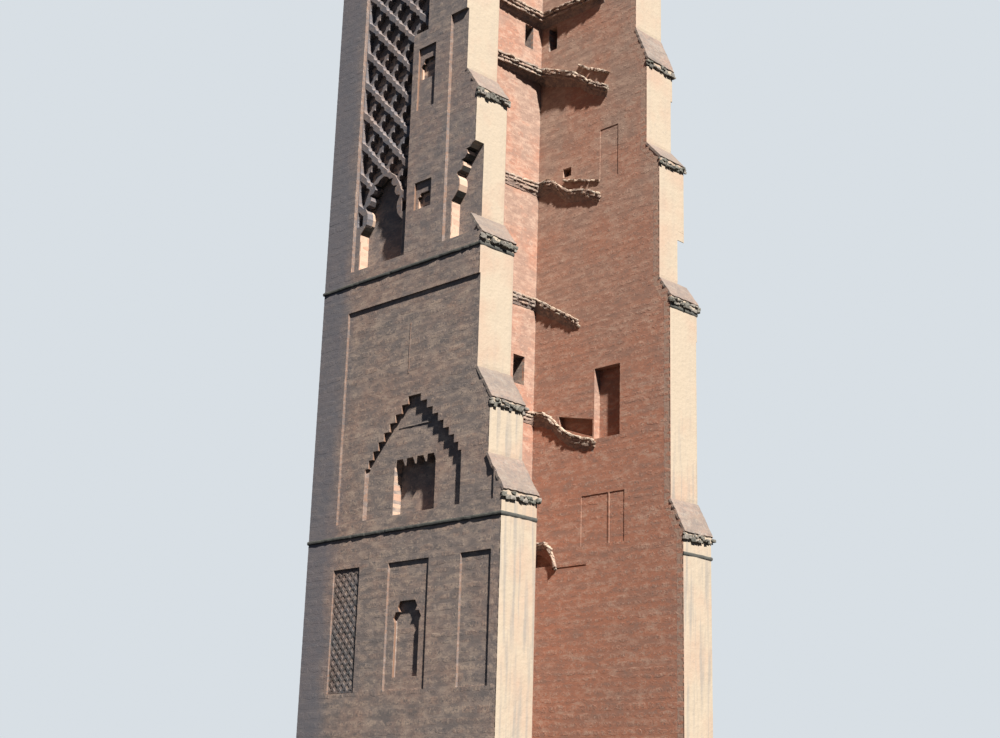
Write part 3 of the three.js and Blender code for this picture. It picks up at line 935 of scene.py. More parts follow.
def prism(plane, outline, low, high):
    """A closed body over an outline of (u, v) on a plane, between two depths."""
    u, v = np.asarray(outline, float).T
    count = len(outline)
    points = np.concatenate([plane.place(u, v, high), plane.place(u, v, low)])
    ring = list(range(count))
    faces = [tuple(ring), tuple(count + i for i in reversed(ring))]
    faces += [(i, count + i, count + (i + 1) % count, (i + 1) % count) for i in ring]
    return outward(points, faces)


# A moulding's stretches differ in length by this share, and its levels waver by this much
STRETCH_SHIFTS = (-0.3, 0.3)
LEVEL_WAVER = (-0.006, 0.006)


def swept(path, profile, step, wear, rng):
    """A worn moulding swept along a path on the ground plan, with mitred corners.

    profile holds (reach, level) points; wear is how much the reach varies.
    """
    path = [np.array(p, float) for p in path]
    rings = []
    for k, point in enumerate(path):
        before = path[k] - path[k - 1] if k > 0 else path[1] - path[0]
        after = path[k + 1] - path[k] if k + 1 < len(path) else before
        normals = [np.array((-d[1], d[0])) / np.linalg.norm(d) for d in (before, after)]
        mitre = normals[0] + normals[1]
        mitre = mitre / max(mitre @ normals[0], 1e-6)
        rings.append((point, mitre))
        if k + 1 < len(path):
            run = path[k + 1] - point
            steps = max(1, int(np.linalg.norm(run) / step))
            for i in range(1, steps):
                jitter = rng.uniform(*STRETCH_SHIFTS)
                rings.append((point + run * (i + jitter) / steps, normals[1]))
    points = []
    for point, normal in rings:
        keep = 1 - wear * rng.uniform(0, 1) ** 2
        sag = rng.uniform(*LEVEL_WAVER)
        for reach, level in profile:
            flat = point + normal * (reach * keep if reach > 0 else reach)
            points.append((flat[0], flat[1], level + sag))
    size = len(profile)
    faces = []
    for k in range(len(rings) - 1):
        for i in range(size):
            a, b = k * size + i, k * size + (i + 1) % size
            faces.append((a, b, b + size, a + size))
    last = (len(rings) - 1) * size
    faces.append(tuple(range(size)))
    faces.append(tuple(last + i for i in reversed(range(size))))
    return outward(np.array(points), faces)


# The broken ends: where each stage's facing and coping lie, read from the frame


def end_stage(side, number):
    """The eaves, slope and facing of one stage of a broken end."""
    node = f"{side}_end_{number}"
    points, _ = arrays(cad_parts[node].data)
    low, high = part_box(node)
    nose = points[points[:, 1] < low.y + 1 * MM]
    return {
        "x": (low.x, high.x),
        "nose": low.y,
        "eaves": (nose[:, 2].min(), nose[:, 2].max()),
        "top": high.z,
    }


STAGES = (1, 2, 3, 4, 5)
COPED = STAGES[:-1]

# How far a coping runs in under the facing of the stage above it
COPING_LAP = 60 * MM


def end_slope(side, number):
    """The lower and upper edge of a stage's coping, as (y, z) points."""
    stage, above = end_stage(side, number), end_stage(side, number + 1)
    reach = COPING_LAP if number + 1 in COPED else 0.0
    return (stage["nose"], stage["eaves"][1]), (above["nose"] + reach, stage["top"])


# Operators: one for each piece or group of like pieces


def node_rng(name):
    """Random draws that depend only on the piece's name and the seed."""
    return np.random.default_rng([stonework().seed, *name.encode()])


def styles():
    """How the walls are coursed outside and in; relief and wear are shares of the stated sizes."""
    sizes = stonework()
    beds_outer = bed_levels(sizes.course, np.random.default_rng(sizes.seed))
    beds_inner = bed_levels(sizes.inner_course, np.random.default_rng(sizes.seed + 1))
    return {
        "outer": {"beds": beds_outer, "length": sizes.length, "relief": 0.3, "wear": 1.5},
        "inner": {"beds": beds_inner, "length": sizes.inner_length, "relief": 0.35, "wear": 1.6},
    }


class MINARET_OT_wall_stones(bpy.types.Operator):
    """Lay coursed limestone over every wall of the tower, outside and in"""

    bl_idname = "minaret.wall_stones"
    bl_label = "Wall Stones"

    def execute(self, context):
        kinds = styles()
        walls = [n for n in sorted(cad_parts) if "wall" in n or "gateway" in n or "_end_" in n]
        for node in walls:
            skins = stone_skins(node, kinds, node_rng(node))
            for where, parts in skins.items():
                if parts:
                    name = f"{node}_{where}_stones"
                    make_piece(name, parts, where)
        return {"FINISHED"}


class MINARET_OT_end_coats(bpy.types.Operator):
    """Coat the broken ends with lime render"""

    bl_idname = "minaret.end_coats"
    bl_label = "End Coats"

    def execute(self, context):
        for side in SIDES:
            rng = node_rng(side + "_coat")
            coats = []
            for number in STAGES:
                coats.extend(end_coat(f"{side}_end_{number}", rng))
            make_piece(side + "_end_coat", coats, "render")
        return {"FINISHED"}


# The lowest face that is coated, and the size of a coat's stretches
LOWEST_COATED = 0.6
COAT_STEP = 0.13


def end_coat(node, rng):
    """Uneven coats over the upright faces of one stage, cut to their outlines."""
    thick = stonework().coat
    for plane, triangles, points in flat_faces(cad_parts[node].data):
        used = corners_of(triangles)
        low, high = points[used].min(axis=0), points[used].max(axis=0)
        if plane.normal[1] > -0.5 or high[2] - low[2] < LOWEST_COATED:
            continue
        width, rise = (high[0] - low[0], 0, 0), (0, 0, high[2] - low[2])
        coat = sheet(low, width, rise, (0, -1, 0), COAT_STEP, thick, 0.0, rng)
        block = region_block(plane, triangles, points, 0.2, 3 * MM)
        yield arrays(boolean(mesh_from(*coat), block, "INTERSECT"))


# The copings: how far they pass the walls' sides and their eaves, their ragged edges, and the rows
# of stones under their noses, as height over the eaves, reach and stone's height
SLOPE_STEP = 0.11
SLOPE_SIDE = 0.01
SLOPE_NOSE = (0.02, 0.03)
SLOPE_RAGGED = 22 * MM
EAVES_ROWS = ((0.10, 0.13, 0.11), (0.0, 0.15, 0.14))
EAVES_SIDE = 0.03
EAVES_BACK = 0.02
EAVES_LENGTH = 0.6
EAVES_SCATTER = 0.3


class MINARET_OT_copings(bpy.types.Operator):
    """Lay the sloping copings of the broken ends and their ragged eaves"""

    bl_idname = "minaret.copings"
    bl_label = "Copings"

    def execute(self, context):
        for side in SIDES:
            rng = node_rng(side + "_coping")
            slopes, eaves = [], []
            for number in COPED:
                stage = end_stage(side, number)
                slopes.append(coping_slope(stage, *end_slope(side, number), rng))
                eaves += eaves_rows(stage, rng)
            make_piece(side + "_end_slopes", slopes, "coping")
            make_piece(side + "_end_eaves", eaves, "eaves")
        return {"FINISHED"}


def coping_slope(stage, lower, upper, rng):
    """The uneven slab of one coping."""
    (y0, z0), (y1, z1) = lower, upper
    x0, x1 = stage["x"]
    rise = np.array((0, y1 - y0, z1 - z0))
    normal = np.array((0, -rise[2], rise[1])) / np.linalg.norm(rise)
    corner = (x0 - SLOPE_SIDE, y0 - SLOPE_NOSE[0], z0 - SLOPE_NOSE[1])
    width = (x1 - x0 + 2 * SLOPE_SIDE, 0, 0)
    rise = rise + (0, *SLOPE_NOSE)
    thick = stonework().coping
    return sheet(corner, width, rise, normal, SLOPE_STEP, thick, SLOPE_RAGGED, rng)


def eaves_rows(stage, rng):
    """The rows of broken stones under the nose of one coping."""
    x0, x1 = stage["x"]
    y = stage["nose"] + EAVES_BACK
    length = stonework().boulder * EAVES_LENGTH
    for over, reach, height in EAVES_ROWS:
        level = stage["eaves"][0] + over
        start, end = (x0 - EAVES_SIDE, y, level), (x1 + EAVES_SIDE, y, level)
        yield stone_row(start, end, (0, -1, 0), (length, reach, height), rng, EAVES_SCATTER)


# A string course's profile, as its reach before the wall and its share of the height
STRING_PROFILE = ((-20, 0.0), (30, 0.0), (48, 0.25), (50, 0.6), (34, 0.9), (-20, 1.0))
STRING_STEP = 0.17
STRING_WEAR = 0.5


class MINARET_OT_strings(bpy.types.Operator):
    """Run the worn string courses round the walls and across the broken ends"""

    bl_idname = "minaret.strings"
    bl_label = "String Courses"

    def execute(self, context):
        for node in ("lower_string", "upper_string", "crown_string"):
            points, _ = arrays(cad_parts[node].data)
            low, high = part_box(node)
            left = points[points[:, 0] < 0][:, 1].min() + STRING_REACH
            right = points[points[:, 0] > 0][:, 1].min() + STRING_REACH
            back = AXIS_Y + HALF
            path = [
                (INNER_SIDE, right),
                (HALF, right),
                (HALF, back),
                (-HALF, back),
                (-HALF, left),
                (-INNER_SIDE, left),
            ]
            height = high.z - low.z
            profile = [(reach * MM, low.z + share * height) for reach, share in STRING_PROFILE]
            body = swept(path[::-1], profile, STRING_STEP, STRING_WEAR, node_rng(node))
            piece = make_piece(node + "_moulding", [body], "string")
            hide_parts(node)
        return {"FINISHED"}


# The vault stubs from the ground up: level in the corner, how far from the tower's axis each starts
# on the front wall and ends on the side wall, its fall on the way, its height, and its reach at the
# start, corner and end
VAULT_STUBS = [
    (11.00, 2.90, 1.75, 0.7, 0.20, (0.13, 0.15, 0.09)),
    (16.00, 2.40, 0.00, 1.4, 0.52, (0.10, 0.14, 0.08)),
    (20.45, 1.90, 0.85, 1.2, 0.52, (0.11, 0.16, 0.10)),
    (25.10, 1.50, -0.10, 1.0, 0.52, (0.11, 0.18, 0.10)),
    (29.90, 0.60, -0.45, 1.1, 0.52, (0.20, 0.46, 0.16)),
    (32.40, 0.00, -0.30, 0.0, 0.52, (0.26, 0.36, 0.24)),
]

# The rows of stones along a stub's nose: drop as a share of its height, how far they lie in from
# its reach, depth and height
LIP_ROWS = ((0.06, 0.03, 0.14, 0.10), (0.26, 0.05, 0.12, 0.10), (0.48, 0.10, 0.10, 0.11))

# How far the right stubs rise or sag off their straight run: distance from the axis and rise
SAGS = {
    1: [(1.75, 0.0), (1.85, 0.24), (2.0, 0.45), (2.3, 0.46), (3.0, 0.0)],
    2: [(0.1, 0.0), (0.6, -0.13), (1.2, -0.2), (1.7, -0.08), (2.0, 0.16), (2.5, 0.16), (3.0, 0.0)],
    4: [(-0.1, -0.1), (0.6, 0.0), (1.5, -0.12), (1.9, 0.15), (2.3, 0.28), (3.0, 0.0)],
    5: [(-0.45, -0.5), (0.4, -0.36), (0.9, -0.05), (3.0, 0.0)],
}

# Upper lips of the same vaults that stay on the right side wall: distance from the axis and level
UPPER_LIPS = {
    4: [(1.62, 24.97), (1.20, 24.87), (0.50, 24.66), (-0.10, 24.48)],
    5: [(0.95, 29.62), (0.50, 29.32), (0.00, 29.10), (-0.50, 28.82)],
}


# The ledges in the stepped arches: level, bed behind the wall's face, and ends on the side faces
# and on the front, from the axis; the profile holds reach and rise in millimetres
LEDGE_LEVEL = 13.43
LEDGE_BED = 175 * MM
LEDGE_ENDS = (-0.62, 0.92)
FRONT_LEDGE_END = 0.77
LEDGE_PROFILE = ((-20, 0), (16, 4), (24, 26), (20, 52), (-20, 70))
LEDGE_STEP = 0.15
LEDGE_WEAR = 0.6


class MINARET_OT_tympanum_ledges(bpy.types.Operator):
    """Run a thin ledge across the head of each stepped arch"""

    bl_idname = "minaret.tympanum_ledges"
    bl_label = "Tympanum Ledges"

    def execute(self, context):
        bed = HALF - LEDGE_BED
        low, high = (AXIS_Y + end for end in LEDGE_ENDS)
        back = AXIS_Y + bed
        paths = {
            "left": [(-bed, low), (-bed, high)],
            "right": [(bed, high), (bed, low)],
            "front": [(-FRONT_LEDGE_END, back), (FRONT_LEDGE_END, back)],
        }
        profile = [(reach * MM, LEDGE_LEVEL + rise * MM) for reach, rise in LEDGE_PROFILE]
        for name, path in paths.items():
            body = swept(path, profile, LEDGE_STEP, LEDGE_WEAR, node_rng(name + "_ledge"))
            make_piece(name + "_tympanum_ledge", [body], "outer")
        return {"FINISHED"}


# A stub's core is broken up in faces of this size, by lumps of a size and reach; its undercut
# takes this share of its reach at its foot, and its lip's stones scatter by this share
CORE_FACE = 0.05
CORE_LUMPS = ((0.9, 0.03), (0.3, 0.022), (0.12, 0.012))
UNDERCUT = 0.8
LIP_SCATTER = 0.15
SMALLEST_REACH = 0.02
SAG_STEPS = 9

# The upper lips' stones: length, reach and height, and their scatter
UPPER_LIP_STONE = (0.2, 0.26, 0.11)
UPPER_LIP_SCATTER = 0.2


class MINARET_OT_vault_stubs(bpy.types.Operator):
    """Break up the stubs of the ramp vaults into ragged ledges"""

    bl_idname = "minaret.vault_stubs"
    bl_label = "Vault Stubs"

    def execute(self, context):
        # Without a seed of its own, the noise that breaks up the stubs starts from the clock
        noise.seed_set(stonework().seed)
        for side in SIDES:
            for number, stub in enumerate(VAULT_STUBS, 1):
                node = f"{side}_vault_stub_{number}"
                rng = node_rng(node)
                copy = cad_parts[node].data.copy()
                points, faces = roughened(copy, CORE_FACE, CORE_LUMPS)
                way = 1 if side == "right" else -1
                sag = SAGS.get(number, []) if side == "right" else []
                points = sagged(undercut(points, way, stub), sag)
                core = make_piece(node + "_core", [(points, faces)], "rubble")
                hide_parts(node)
                rows = ledge_rows(way, stub, sag, rng)
                if side == "right" and number in UPPER_LIPS:
                    rows += upper_lip(UPPER_LIPS[number], rng)
                make_piece(node + "_lip", rows, "lip")
        return {"FINISHED"}


def undercut(points, way, stub):
    """Draws a stub in towards its walls as it goes down, as the fallen vault left it."""
    level, _, end, fall, height, _ = stub
    to_side = INNER_SIDE - way * points[:, 0]
    to_front = INNER_FRONT - points[:, 1]
    run = np.clip(to_front / (INNER_FRONT - AXIS_Y - end), 0, 1)
    drop = np.clip((level - way * fall * run - points[:, 2]) / height, 0, 1)
    keep = 1 - UNDERCUT * drop
    by_side = to_side < to_front
    points[by_side, 0] = way * (INNER_SIDE - to_side[by_side] * keep[by_side])
    points[~by_side, 1] = INNER_FRONT - to_front[~by_side] * keep[~by_side]
    return points


def sagged(points, sag):
    """Points beside a side wall moved with the sag of their stub."""
    if sag:
        points[:, 2] += np.interp(points[:, 1] - AXIS_Y, *np.array(sag).T)
    return points


def ledge_rows(way, stub, sag, rng):
    """Rows of broken stones along the nose of a vault stub."""
    level, start, end, fall, height, reach = stub
    long = stonework().boulder
    rows = []
    for drop, inset, depth, tall in LIP_ROWS:
        out = [max(each - inset, SMALLEST_REACH) for each in reach]
        nose = np.array(
            [
                (way * start, INNER_FRONT - out[0], level),
                (way * (INNER_SIDE - out[1]), INNER_FRONT - out[1], level),
                (way * (INNER_SIDE - out[2]), end + AXIS_Y, level - way * fall),
            ]
        )
        nose[:, 2] -= drop * height
        run = np.linspace(0, 1, SAG_STEPS if sag else 2)[:, None]
        side_nose = sagged(nose[1] + (nose[2] - nose[1]) * run, sag)
        size = (long, depth, tall)
        rows.append(stone_row(nose[0], side_nose[0], (0, -1, 0), size, rng, LIP_SCATTER))
        for first, last in zip(side_nose, side_nose[1:]):
            rows.append(stone_row(first, last, (-way, 0, 0), size, rng, LIP_SCATTER))
    return rows


def upper_lip(line, rng):
    """A second ragged lip over a vault stub, along a line on the right side wall."""
    rows = []
    for (a, z), (b, y) in zip(line, line[1:]):
        start, end = (INNER_SIDE, a + AXIS_Y, z), (INNER_SIDE, b + AXIS_Y, y)
        rows.append(stone_row(start, end, (-1, 0, 0), UPPER_LIP_STONE, rng, UPPER_LIP_SCATTER))
    return rows


# The loose stones of the crown: rows' distances in from the outer faces, how far they stop short
# of the open end and the back, a stone's length, reach and height, and their scatter
SIDE_CROWN_ROWS = (0.2, 0.55, 0.9, 1.25)
FRONT_CROWN_ROWS = (0.25, 0.65, 1.05, 1.45, 1.8)
CROWN_SHORT = (0.15, 0.2)
CROWN_STONE = (0.36, 0.36, 0.20)
CROWN_SCATTER = 0.3


class MINARET_OT_crown_rubble(bpy.types.Operator):
    """Scatter loose broken stones over the ruined top of the walls"""

    bl_idname = "minaret.crown_rubble"
    bl_label = "Crown Rubble"

    def execute(self, context):
        rng = node_rng("crown")
        back = AXIS_Y + HALF
        rows = []
        for side, (way, _, _) in SIDE_FACES:
            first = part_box(side + "_end_5")[0].y + CROWN_SHORT[0]
            last = back - CROWN_SHORT[1]
            for inset in SIDE_CROWN_ROWS:
                x = way * (HALF - inset)
                start, end = (x, first, TOWER_HEIGHT), (x, last, TOWER_HEIGHT)
                rows.append(stone_row(start, end, (-way, 0, 0), CROWN_STONE, rng, CROWN_SCATTER))
        for inset in FRONT_CROWN_ROWS:
            start, end = ((x, back - inset, TOWER_HEIGHT) for x in (-INNER_SIDE, INNER_SIDE))
            rows.append(stone_row(start, end, (0, -1, 0), CROWN_STONE, rng, CROWN_SCATTER))
        make_piece("crown_rubble", rows, "rubble")
        return {"FINISHED"}


# The nets of lozenges, and the band round the arches that they stand on, as distances from the
# bay's axis and levels. A net holds its face's normal, its outline, its bays' axes, and the sides,
# foot and head of its window's frame.
NET_FRONT = -100 * MM
NET_BACK = -350 * MM
PAST_BACK = 20 * MM
SIDE_POINTS = 12
LOBE_ROUNDNESS = 0.7
ARCH_RIM = [(1.0, 19.37), (1.0, 21.0), (0.98, 21.7), (0.82, 22.1), (0.6, 22.43), (0.3, 22.64)]
ARCH_RIM_CROWN = 22.7
SIDE_NET = [(0.92, 20.95), (3.62, 20.95), (3.62, 32.25), (0.21, 32.25), (0.21, 27.4), (0.92, 27.4)]
FRONT_NET = [
    (0.92, 20.95),
    (3.33, 20.95),
    (3.33, 32.25),
    (-3.33, 32.25),
    (-3.33, 20.95),
    (-0.92, 20.95),
    (-0.92, 27.4),
    (0.92, 27.4),
]
NETS = {
    "left": ((-1, 0, 0), SIDE_NET, (2.275,), None),
    "right": ((1, 0, 0), SIDE_NET, (2.275,), (2.11, 2.67, 30.74, 31.86)),
    "front": ((0, 1, 0), FRONT_NET, (2.15, -2.15), (2.48, 3.05, 30.78, 31.87)),
}


def face_plane(normal):
    """The plane of one of the tower's outer faces."""
    return Plane(normal, HALF + (AXIS_Y if normal[1] else 0.0))


def on_plane(plane, along, level):
    """Plane coordinates of a place given as its distance from the tower's axis and its level."""
    if abs(plane.normal[1]) > 0.5:
        return (plane.along[0] * along, level)
    return (plane.along[1] * (along + AXIS_Y), level)


def laid(plane, outline):
    """An outline given from the tower's axis, as coordinates of a plane."""
    return [on_plane(plane, along, level) for along, level in outline]


def through(plane, outline):
    """A block over such an outline, right through the wall's face and its net."""
    return prism(plane, laid(plane, outline), *THROUGH)


def outer_loop(plane, triangles, points):
    """The outline that encloses a flat face."""
    following = dict(boundary(triangles))
    loops = []
    while following:
        start, at = following.popitem()
        loop = [start]
        while at != start:
            loop.append(at)
            at = following.pop(at)
        loops.append(plane.flatten(points[loop]))
    return max(loops, key=lambda loop: abs(loop_area(loop)))


def loop_area(loop):
    """The area inside an outline, under nought where it turns clockwise."""
    u, v = loop[:, 0], loop[:, 1]
    return (u * np.roll(v, -1) - v * np.roll(u, -1)).sum() / 2


def rectangle(a0, a1, z0, z1):
    """The corners of an upright rectangle, from its sides, foot and head."""
    return [(a0, z0), (a1, z0), (a1, z1), (a0, z1)]


def inset_outline(outline, margin):
    """A right-angled outline drawn in by a margin."""
    count = len(outline)
    area = loop_area(np.array(outline))
    turn = 1 if area > 0 else -1
    out = []
    for i, (a, z) in enumerate(outline):
        before = np.array(outline[i]) - outline[i - 1]
        after = np.array(outline[(i + 1) % count]) - outline[i]
        shift = np.zeros(2)
        for step in (before, after):
            step = step / np.linalg.norm(step)
            shift += margin * turn * np.array((-step[1], step[0]))
        out.append((a + shift[0], z + shift[1]))
    return out


def lozenge(pitch, course, bar, lobe, per_side):
    """The four sides of a lozenge hole, each with two lobes that bite into its bar."""
    slope = course / pitch
    rise = course / 2 - bar / 2 * math.hypot(1, slope)
    run = rise / slope
    corners = [(run, 0.0), (0.0, rise), (-run, 0.0), (0.0, -rise)]
    sides = []
    for i, (a, z) in enumerate(corners):
        b, y = corners[(i + 1) % 4]
        length = math.hypot(b - a, y - z)
        nu, nv = (y - z) / length, -(b - a) / length
        t = np.arange(per_side) / per_side
        bulge = lobe * np.abs(np.sin(2 * np.pi * t)) ** LOBE_ROUNDNESS
        u, v = a + (b - a) * t + nu * bulge, z + (y - z) * t + nv * bulge
        sides.append(np.stack([u, v], axis=1))
    return sides


# How far a cutter stands before the face that it cuts
CUTTER_FRONT = 5 * MM


def hole_bodies(plane, outlines, front, back, moulding):
    """Closed cutters for holes that open out towards the front by their moulding."""
    parts = []
    for outline in outlines:
        count = len(outline)
        before, after = np.roll(outline, 1, axis=0), np.roll(outline, -1, axis=0)
        step = after - before
        turn = 1 if loop_area(outline) > 0 else -1
        side = np.stack([step[:, 1], -step[:, 0]], axis=1) * turn
        side = side / np.maximum(np.linalg.norm(side, axis=1), TINY)[:, None]
        wide = outline + side * moulding
        rings = [(wide, front + CUTTER_FRONT), (outline, front - moulding), (outline, back)]
        points = np.concatenate([plane.place(*ring.T, w) for ring, w in rings])
        faces = [tuple(range(count)), tuple(2 * count + i for i in reversed(range(count)))]
        for r in (0, count):
            for i in range(count):
                k = (i + 1) % count
                faces.append((r + i, r + count + i, r + count + k, r + k))
        parts.append((points, faces))
    return outward(*joined(parts))


def carve(plate, cutters, clips, keeps):
    """A plate carved by cutters, but only inside the clips and outside the keeps."""
    cuts = boolean(mesh_from(*cutters), mesh_from(*clips), "INTERSECT")
    for keep in keeps:
        cuts = boolean(cuts, mesh_from(*keep), "DIFFERENCE")
    return boolean(plate, cuts, "DIFFERENCE")


def cell_rows(pitch, course, origin, low, high):
    """Centres of the lozenges over a rectangle, in rows that fall along one set of bars."""
    reach = int(np.ceil((high - low).max() / min(pitch, course))) + 2
    rows = []
    for j in range(-2 * reach, 2 * reach):
        row = []
        for i in range(-2 * reach, 2 * reach):
            u = origin[0] + pitch * (j - i) / 2
            v = origin[1] + course * (i + j + 1) / 2
            if low[0] - pitch < u < high[0] + pitch and low[1] - course < v < high[1] + course:
                row.append(np.array((u, v)))
        if row:
            rows.append(row)
    return rows


def strip_between_bars(row, sides):
    """The outline of a whole row of cells with the bars between them taken away."""
    upper = [centre + sides[0] for centre in row]
    lower = [centre + sides[2] for centre in reversed(row)]
    return np.concatenate(upper + lower)


class MINARET_OT_nets(bpy.types.Operator):
    """Carve the nets of lobed lozenges in the tall bays"""

    bl_idname = "minaret.nets"
    bl_label = "Nets"

    def execute(self, context):
        net = net_sizes()
        for side, (normal, outline, centres, window) in NETS.items():
            node = side + "_sebka"
            plane = face_plane(normal)
            field = net_field(node, plane)
            clip = through(plane, inset_outline(outline, net.rim))
            keeps = [arch_rim_body(plane, centre) for centre in centres]
            if window:
                keeps.append(through(plane, rectangle(*window)))
            sides = lozenge(net.pitch, net.course, net.bar, net.lobe, SIDE_POINTS)
            origin = on_plane(plane, centres[0], net.crossing)
            low, high = field.min(axis=0), field.max(axis=0)
            rows = cell_rows(net.pitch, net.course, origin, low, high)
            cells = [np.concatenate(sides) + centre for row in rows for centre in row]
            strips = [strip_between_bars(row, sides) for row in rows]
            plate = mesh_from(*prism(plane, field, NET_BACK, NET_FRONT))
            level = NET_FRONT - net.step
            deep = hole_bodies(plane, cells, level, NET_BACK - PAST_BACK, net.moulding)
            shallow = hole_bodies(plane, strips, NET_FRONT, level, net.moulding)
            plate = carve(plate, shallow, clip, keeps)
            plate = carve(plate, deep, clip, keeps)
            piece = make_piece(node + "_net", plate, "carved")
            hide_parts(node)
        return {"FINISHED"}


def net_field(node, plane):
    """The whole outline of a net, read from the frame."""
    for face_on, triangles, points in flat_faces(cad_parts[node].data):
        same = np.allclose(face_on.normal, plane.normal)
        if same and abs(face_on.offset - plane.offset - NET_FRONT) < 2 * MM:
            return outer_loop(face_on, triangles, points)
    raise ValueError("no face on " + node)


def arch_rim_body(plane, centre):
    """The part of a net round its arch that stays whole."""
    right = [(centre + a, z) for a, z in ARCH_RIM]
    left = [(centre - a, z) for a, z in reversed(ARCH_RIM)]
    outline = [*right, (centre, ARCH_RIM_CROWN), *left]
    return through(plane, outline)


# The fine lattices low on the side faces: the panel's depth, its sides, foot and head, the pitch
# and course of the lozenges, the width of a bar, the plain rim, how far the carving stands before
# and behind the panel, and its moulding
PANEL_DEPTH = -50 * MM
LATTICE_PANEL = (2.33, 3.58, 5.22, 9.10)
LATTICE_PITCH = (0.30, 0.33)
LATTICE_BAR = 0.08
LATTICE_RIM = 0.04
LATTICE_FRONT = PANEL_DEPTH + 14 * MM
LATTICE_BACK = PANEL_DEPTH - 5 * MM
LATTICE_MOULDING = 6 * MM


class MINARET_OT_panel_lattices(bpy.types.Operator):
    """Carve the fine lattices in the base panels"""

    bl_idname = "minaret.panel_lattices"
    bl_label = "Panel Lattices"

    def execute(self, context):
        outline = rectangle(*LATTICE_PANEL)
        for side, normal in SIDE_FACES:
            plane = face_plane(normal)
            field = np.array(laid(plane, outline))
            clip = through(plane, inset_outline(outline, LATTICE_RIM))
            sides = lozenge(*LATTICE_PITCH, LATTICE_BAR, 0.0, 2)
            rows = cell_rows(*LATTICE_PITCH, field[0], field.min(axis=0), field.max(axis=0))
            cells = [np.concatenate(sides) + centre for row in rows for centre in row]
            past = LATTICE_BACK - PAST_BACK
            holes = hole_bodies(plane, cells, LATTICE_FRONT, past, LATTICE_MOULDING)
            plate = mesh_from(*prism(plane, field, LATTICE_BACK, LATTICE_FRONT))
            mesh = carve(plate, holes, clip, [])
            make_piece(side + "_base_lattice", mesh, "lattice")
        return {"FINISHED"}


# Upright arrises that look to the open side: place along the face, foot, head, the recess's two
# depths and the splay's width
ARRISES = [
    (3.62, 10.60, 17.87, 0.0, 0.05, 0.06),
    (2.36, 10.62, 12.30, 0.05, 0.175, 0.06),
    (3.62, 19.35, 32.20, 0.0, 0.10, 0.03),
    (-0.92, 19.35, 27.52, 0.0, 0.10, 0.03),
    (0.45, 15.20, 16.90, 0.036, 0.05, 0.04),
    (3.60, 5.20, 9.12, 0.0, 0.05, 0.04),
    (0.93, 5.20, 9.12, 0.0, 0.05, 0.04),
    (-2.31, 5.20, 9.12, 0.0, 0.05, 0.04),
]
ARRIS_STEP = 0.27
ARRIS_WIDTHS = (0.7, 1.25)
ARRIS_LIPS = (0.0, 0.006)
ARRIS_BURY = 0.004


class MINARET_OT_arrises(bpy.types.Operator):
    """Wear the upright arrises of the side faces to brown splays"""

    bl_idname = "minaret.arrises"
    bl_label = "Worn Arrises"

    def execute(self, context):
        for side, normal in SIDE_FACES:
            rng = node_rng(side + "_arris")
            plane = face_plane(normal)
            parts = [arris_body(plane, *arris, rng) for arris in ARRISES]
            make_piece(side + "_arrises", parts, "arris")
        return {"FINISHED"}


def arris_body(plane, at, foot, head, near, far, reach, rng):
    """A closed three-sided strip in the corner of a recess, from its edge in to its back."""
    steps = max(2, round((head - foot) / ARRIS_STEP))
    points = []
    for k in range(steps + 1):
        z = foot + (head - foot) * k / steps
        width = reach * rng.uniform(*ARRIS_WIDTHS)
        lip = rng.uniform(*ARRIS_LIPS)
        edge, bed = at + ARRIS_BURY, -far - ARRIS_BURY
        for along, depth in ((edge, -near + lip), (edge, bed), (at - width, bed)):
            u, v = on_plane(plane, along, z)
            points.append(plane.place(u, v, depth))
    faces = [(0, 1, 2), tuple(3 * steps + i for i in (2, 1, 0))]
    for k in range(steps):
        for i in range(3):
            a, b = 3 * k + i, 3 * k + (i + 1) % 3
            faces.append((a, a + 3, b + 3, b))
    return outward(np.array(points), faces)


class MINARET_OT_cad_finishes(bpy.types.Operator):
    """Give each solid of the frame its own finish"""

    bl_idname = "minaret.cad_finishes"
    bl_label = "Solid Finishes"

    def execute(self, context):
        for name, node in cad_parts.items():
            key = "bed"
            if "_end_" in name:
                key = "render"
            elif "stub" in name:
                key = "rubble"
            for slot in node.material_slots:
                slot.material = finish_named(key)
        return {"FINISHED"}


class MINARET_OT_stage(bpy.types.Operator):
    """Set the pale floor, the soft studio light and the camera"""

    bl_idname = "minaret.stage"
    bl_label = "Stage"

    def execute(self, context):
        make_floor()
        make_world()
        make_key_light()
        make_camera()
        bpy.context.scene.view_settings.view_transform = "Standard"
        return {"FINISHED"}


# The camera stands where the view was taken from, at eye height
CAMERA_PLACE = (-35.7602, AXIS_Y - 34.808, 1.6)
CAMERA_YAW = 0.7806
CAMERA_PITCH = 0.2876
CAMERA_ROLL = 0.0297
CAMERA_LENS = 54.69
SENSOR_WIDTH = 36
FARTHEST_SEEN = 2000
SUN_DIRECTION = (-0.23, -0.645, 0.729)
SUN_STRENGTH = 14.0
SUN_SOFTNESS = math.radians(2.0)
SUN_COLOUR = (1.0, 0.95, 0.88)
FILL_COLOUR = (0.45, 0.64, 1.0)
FILL_STRENGTH = 0.24
BACKDROP_STRENGTH = 0.95
FLOOR_BOUNCE = (0.03, 0.03, 0.03)
FLOOR_REACH = 400.0


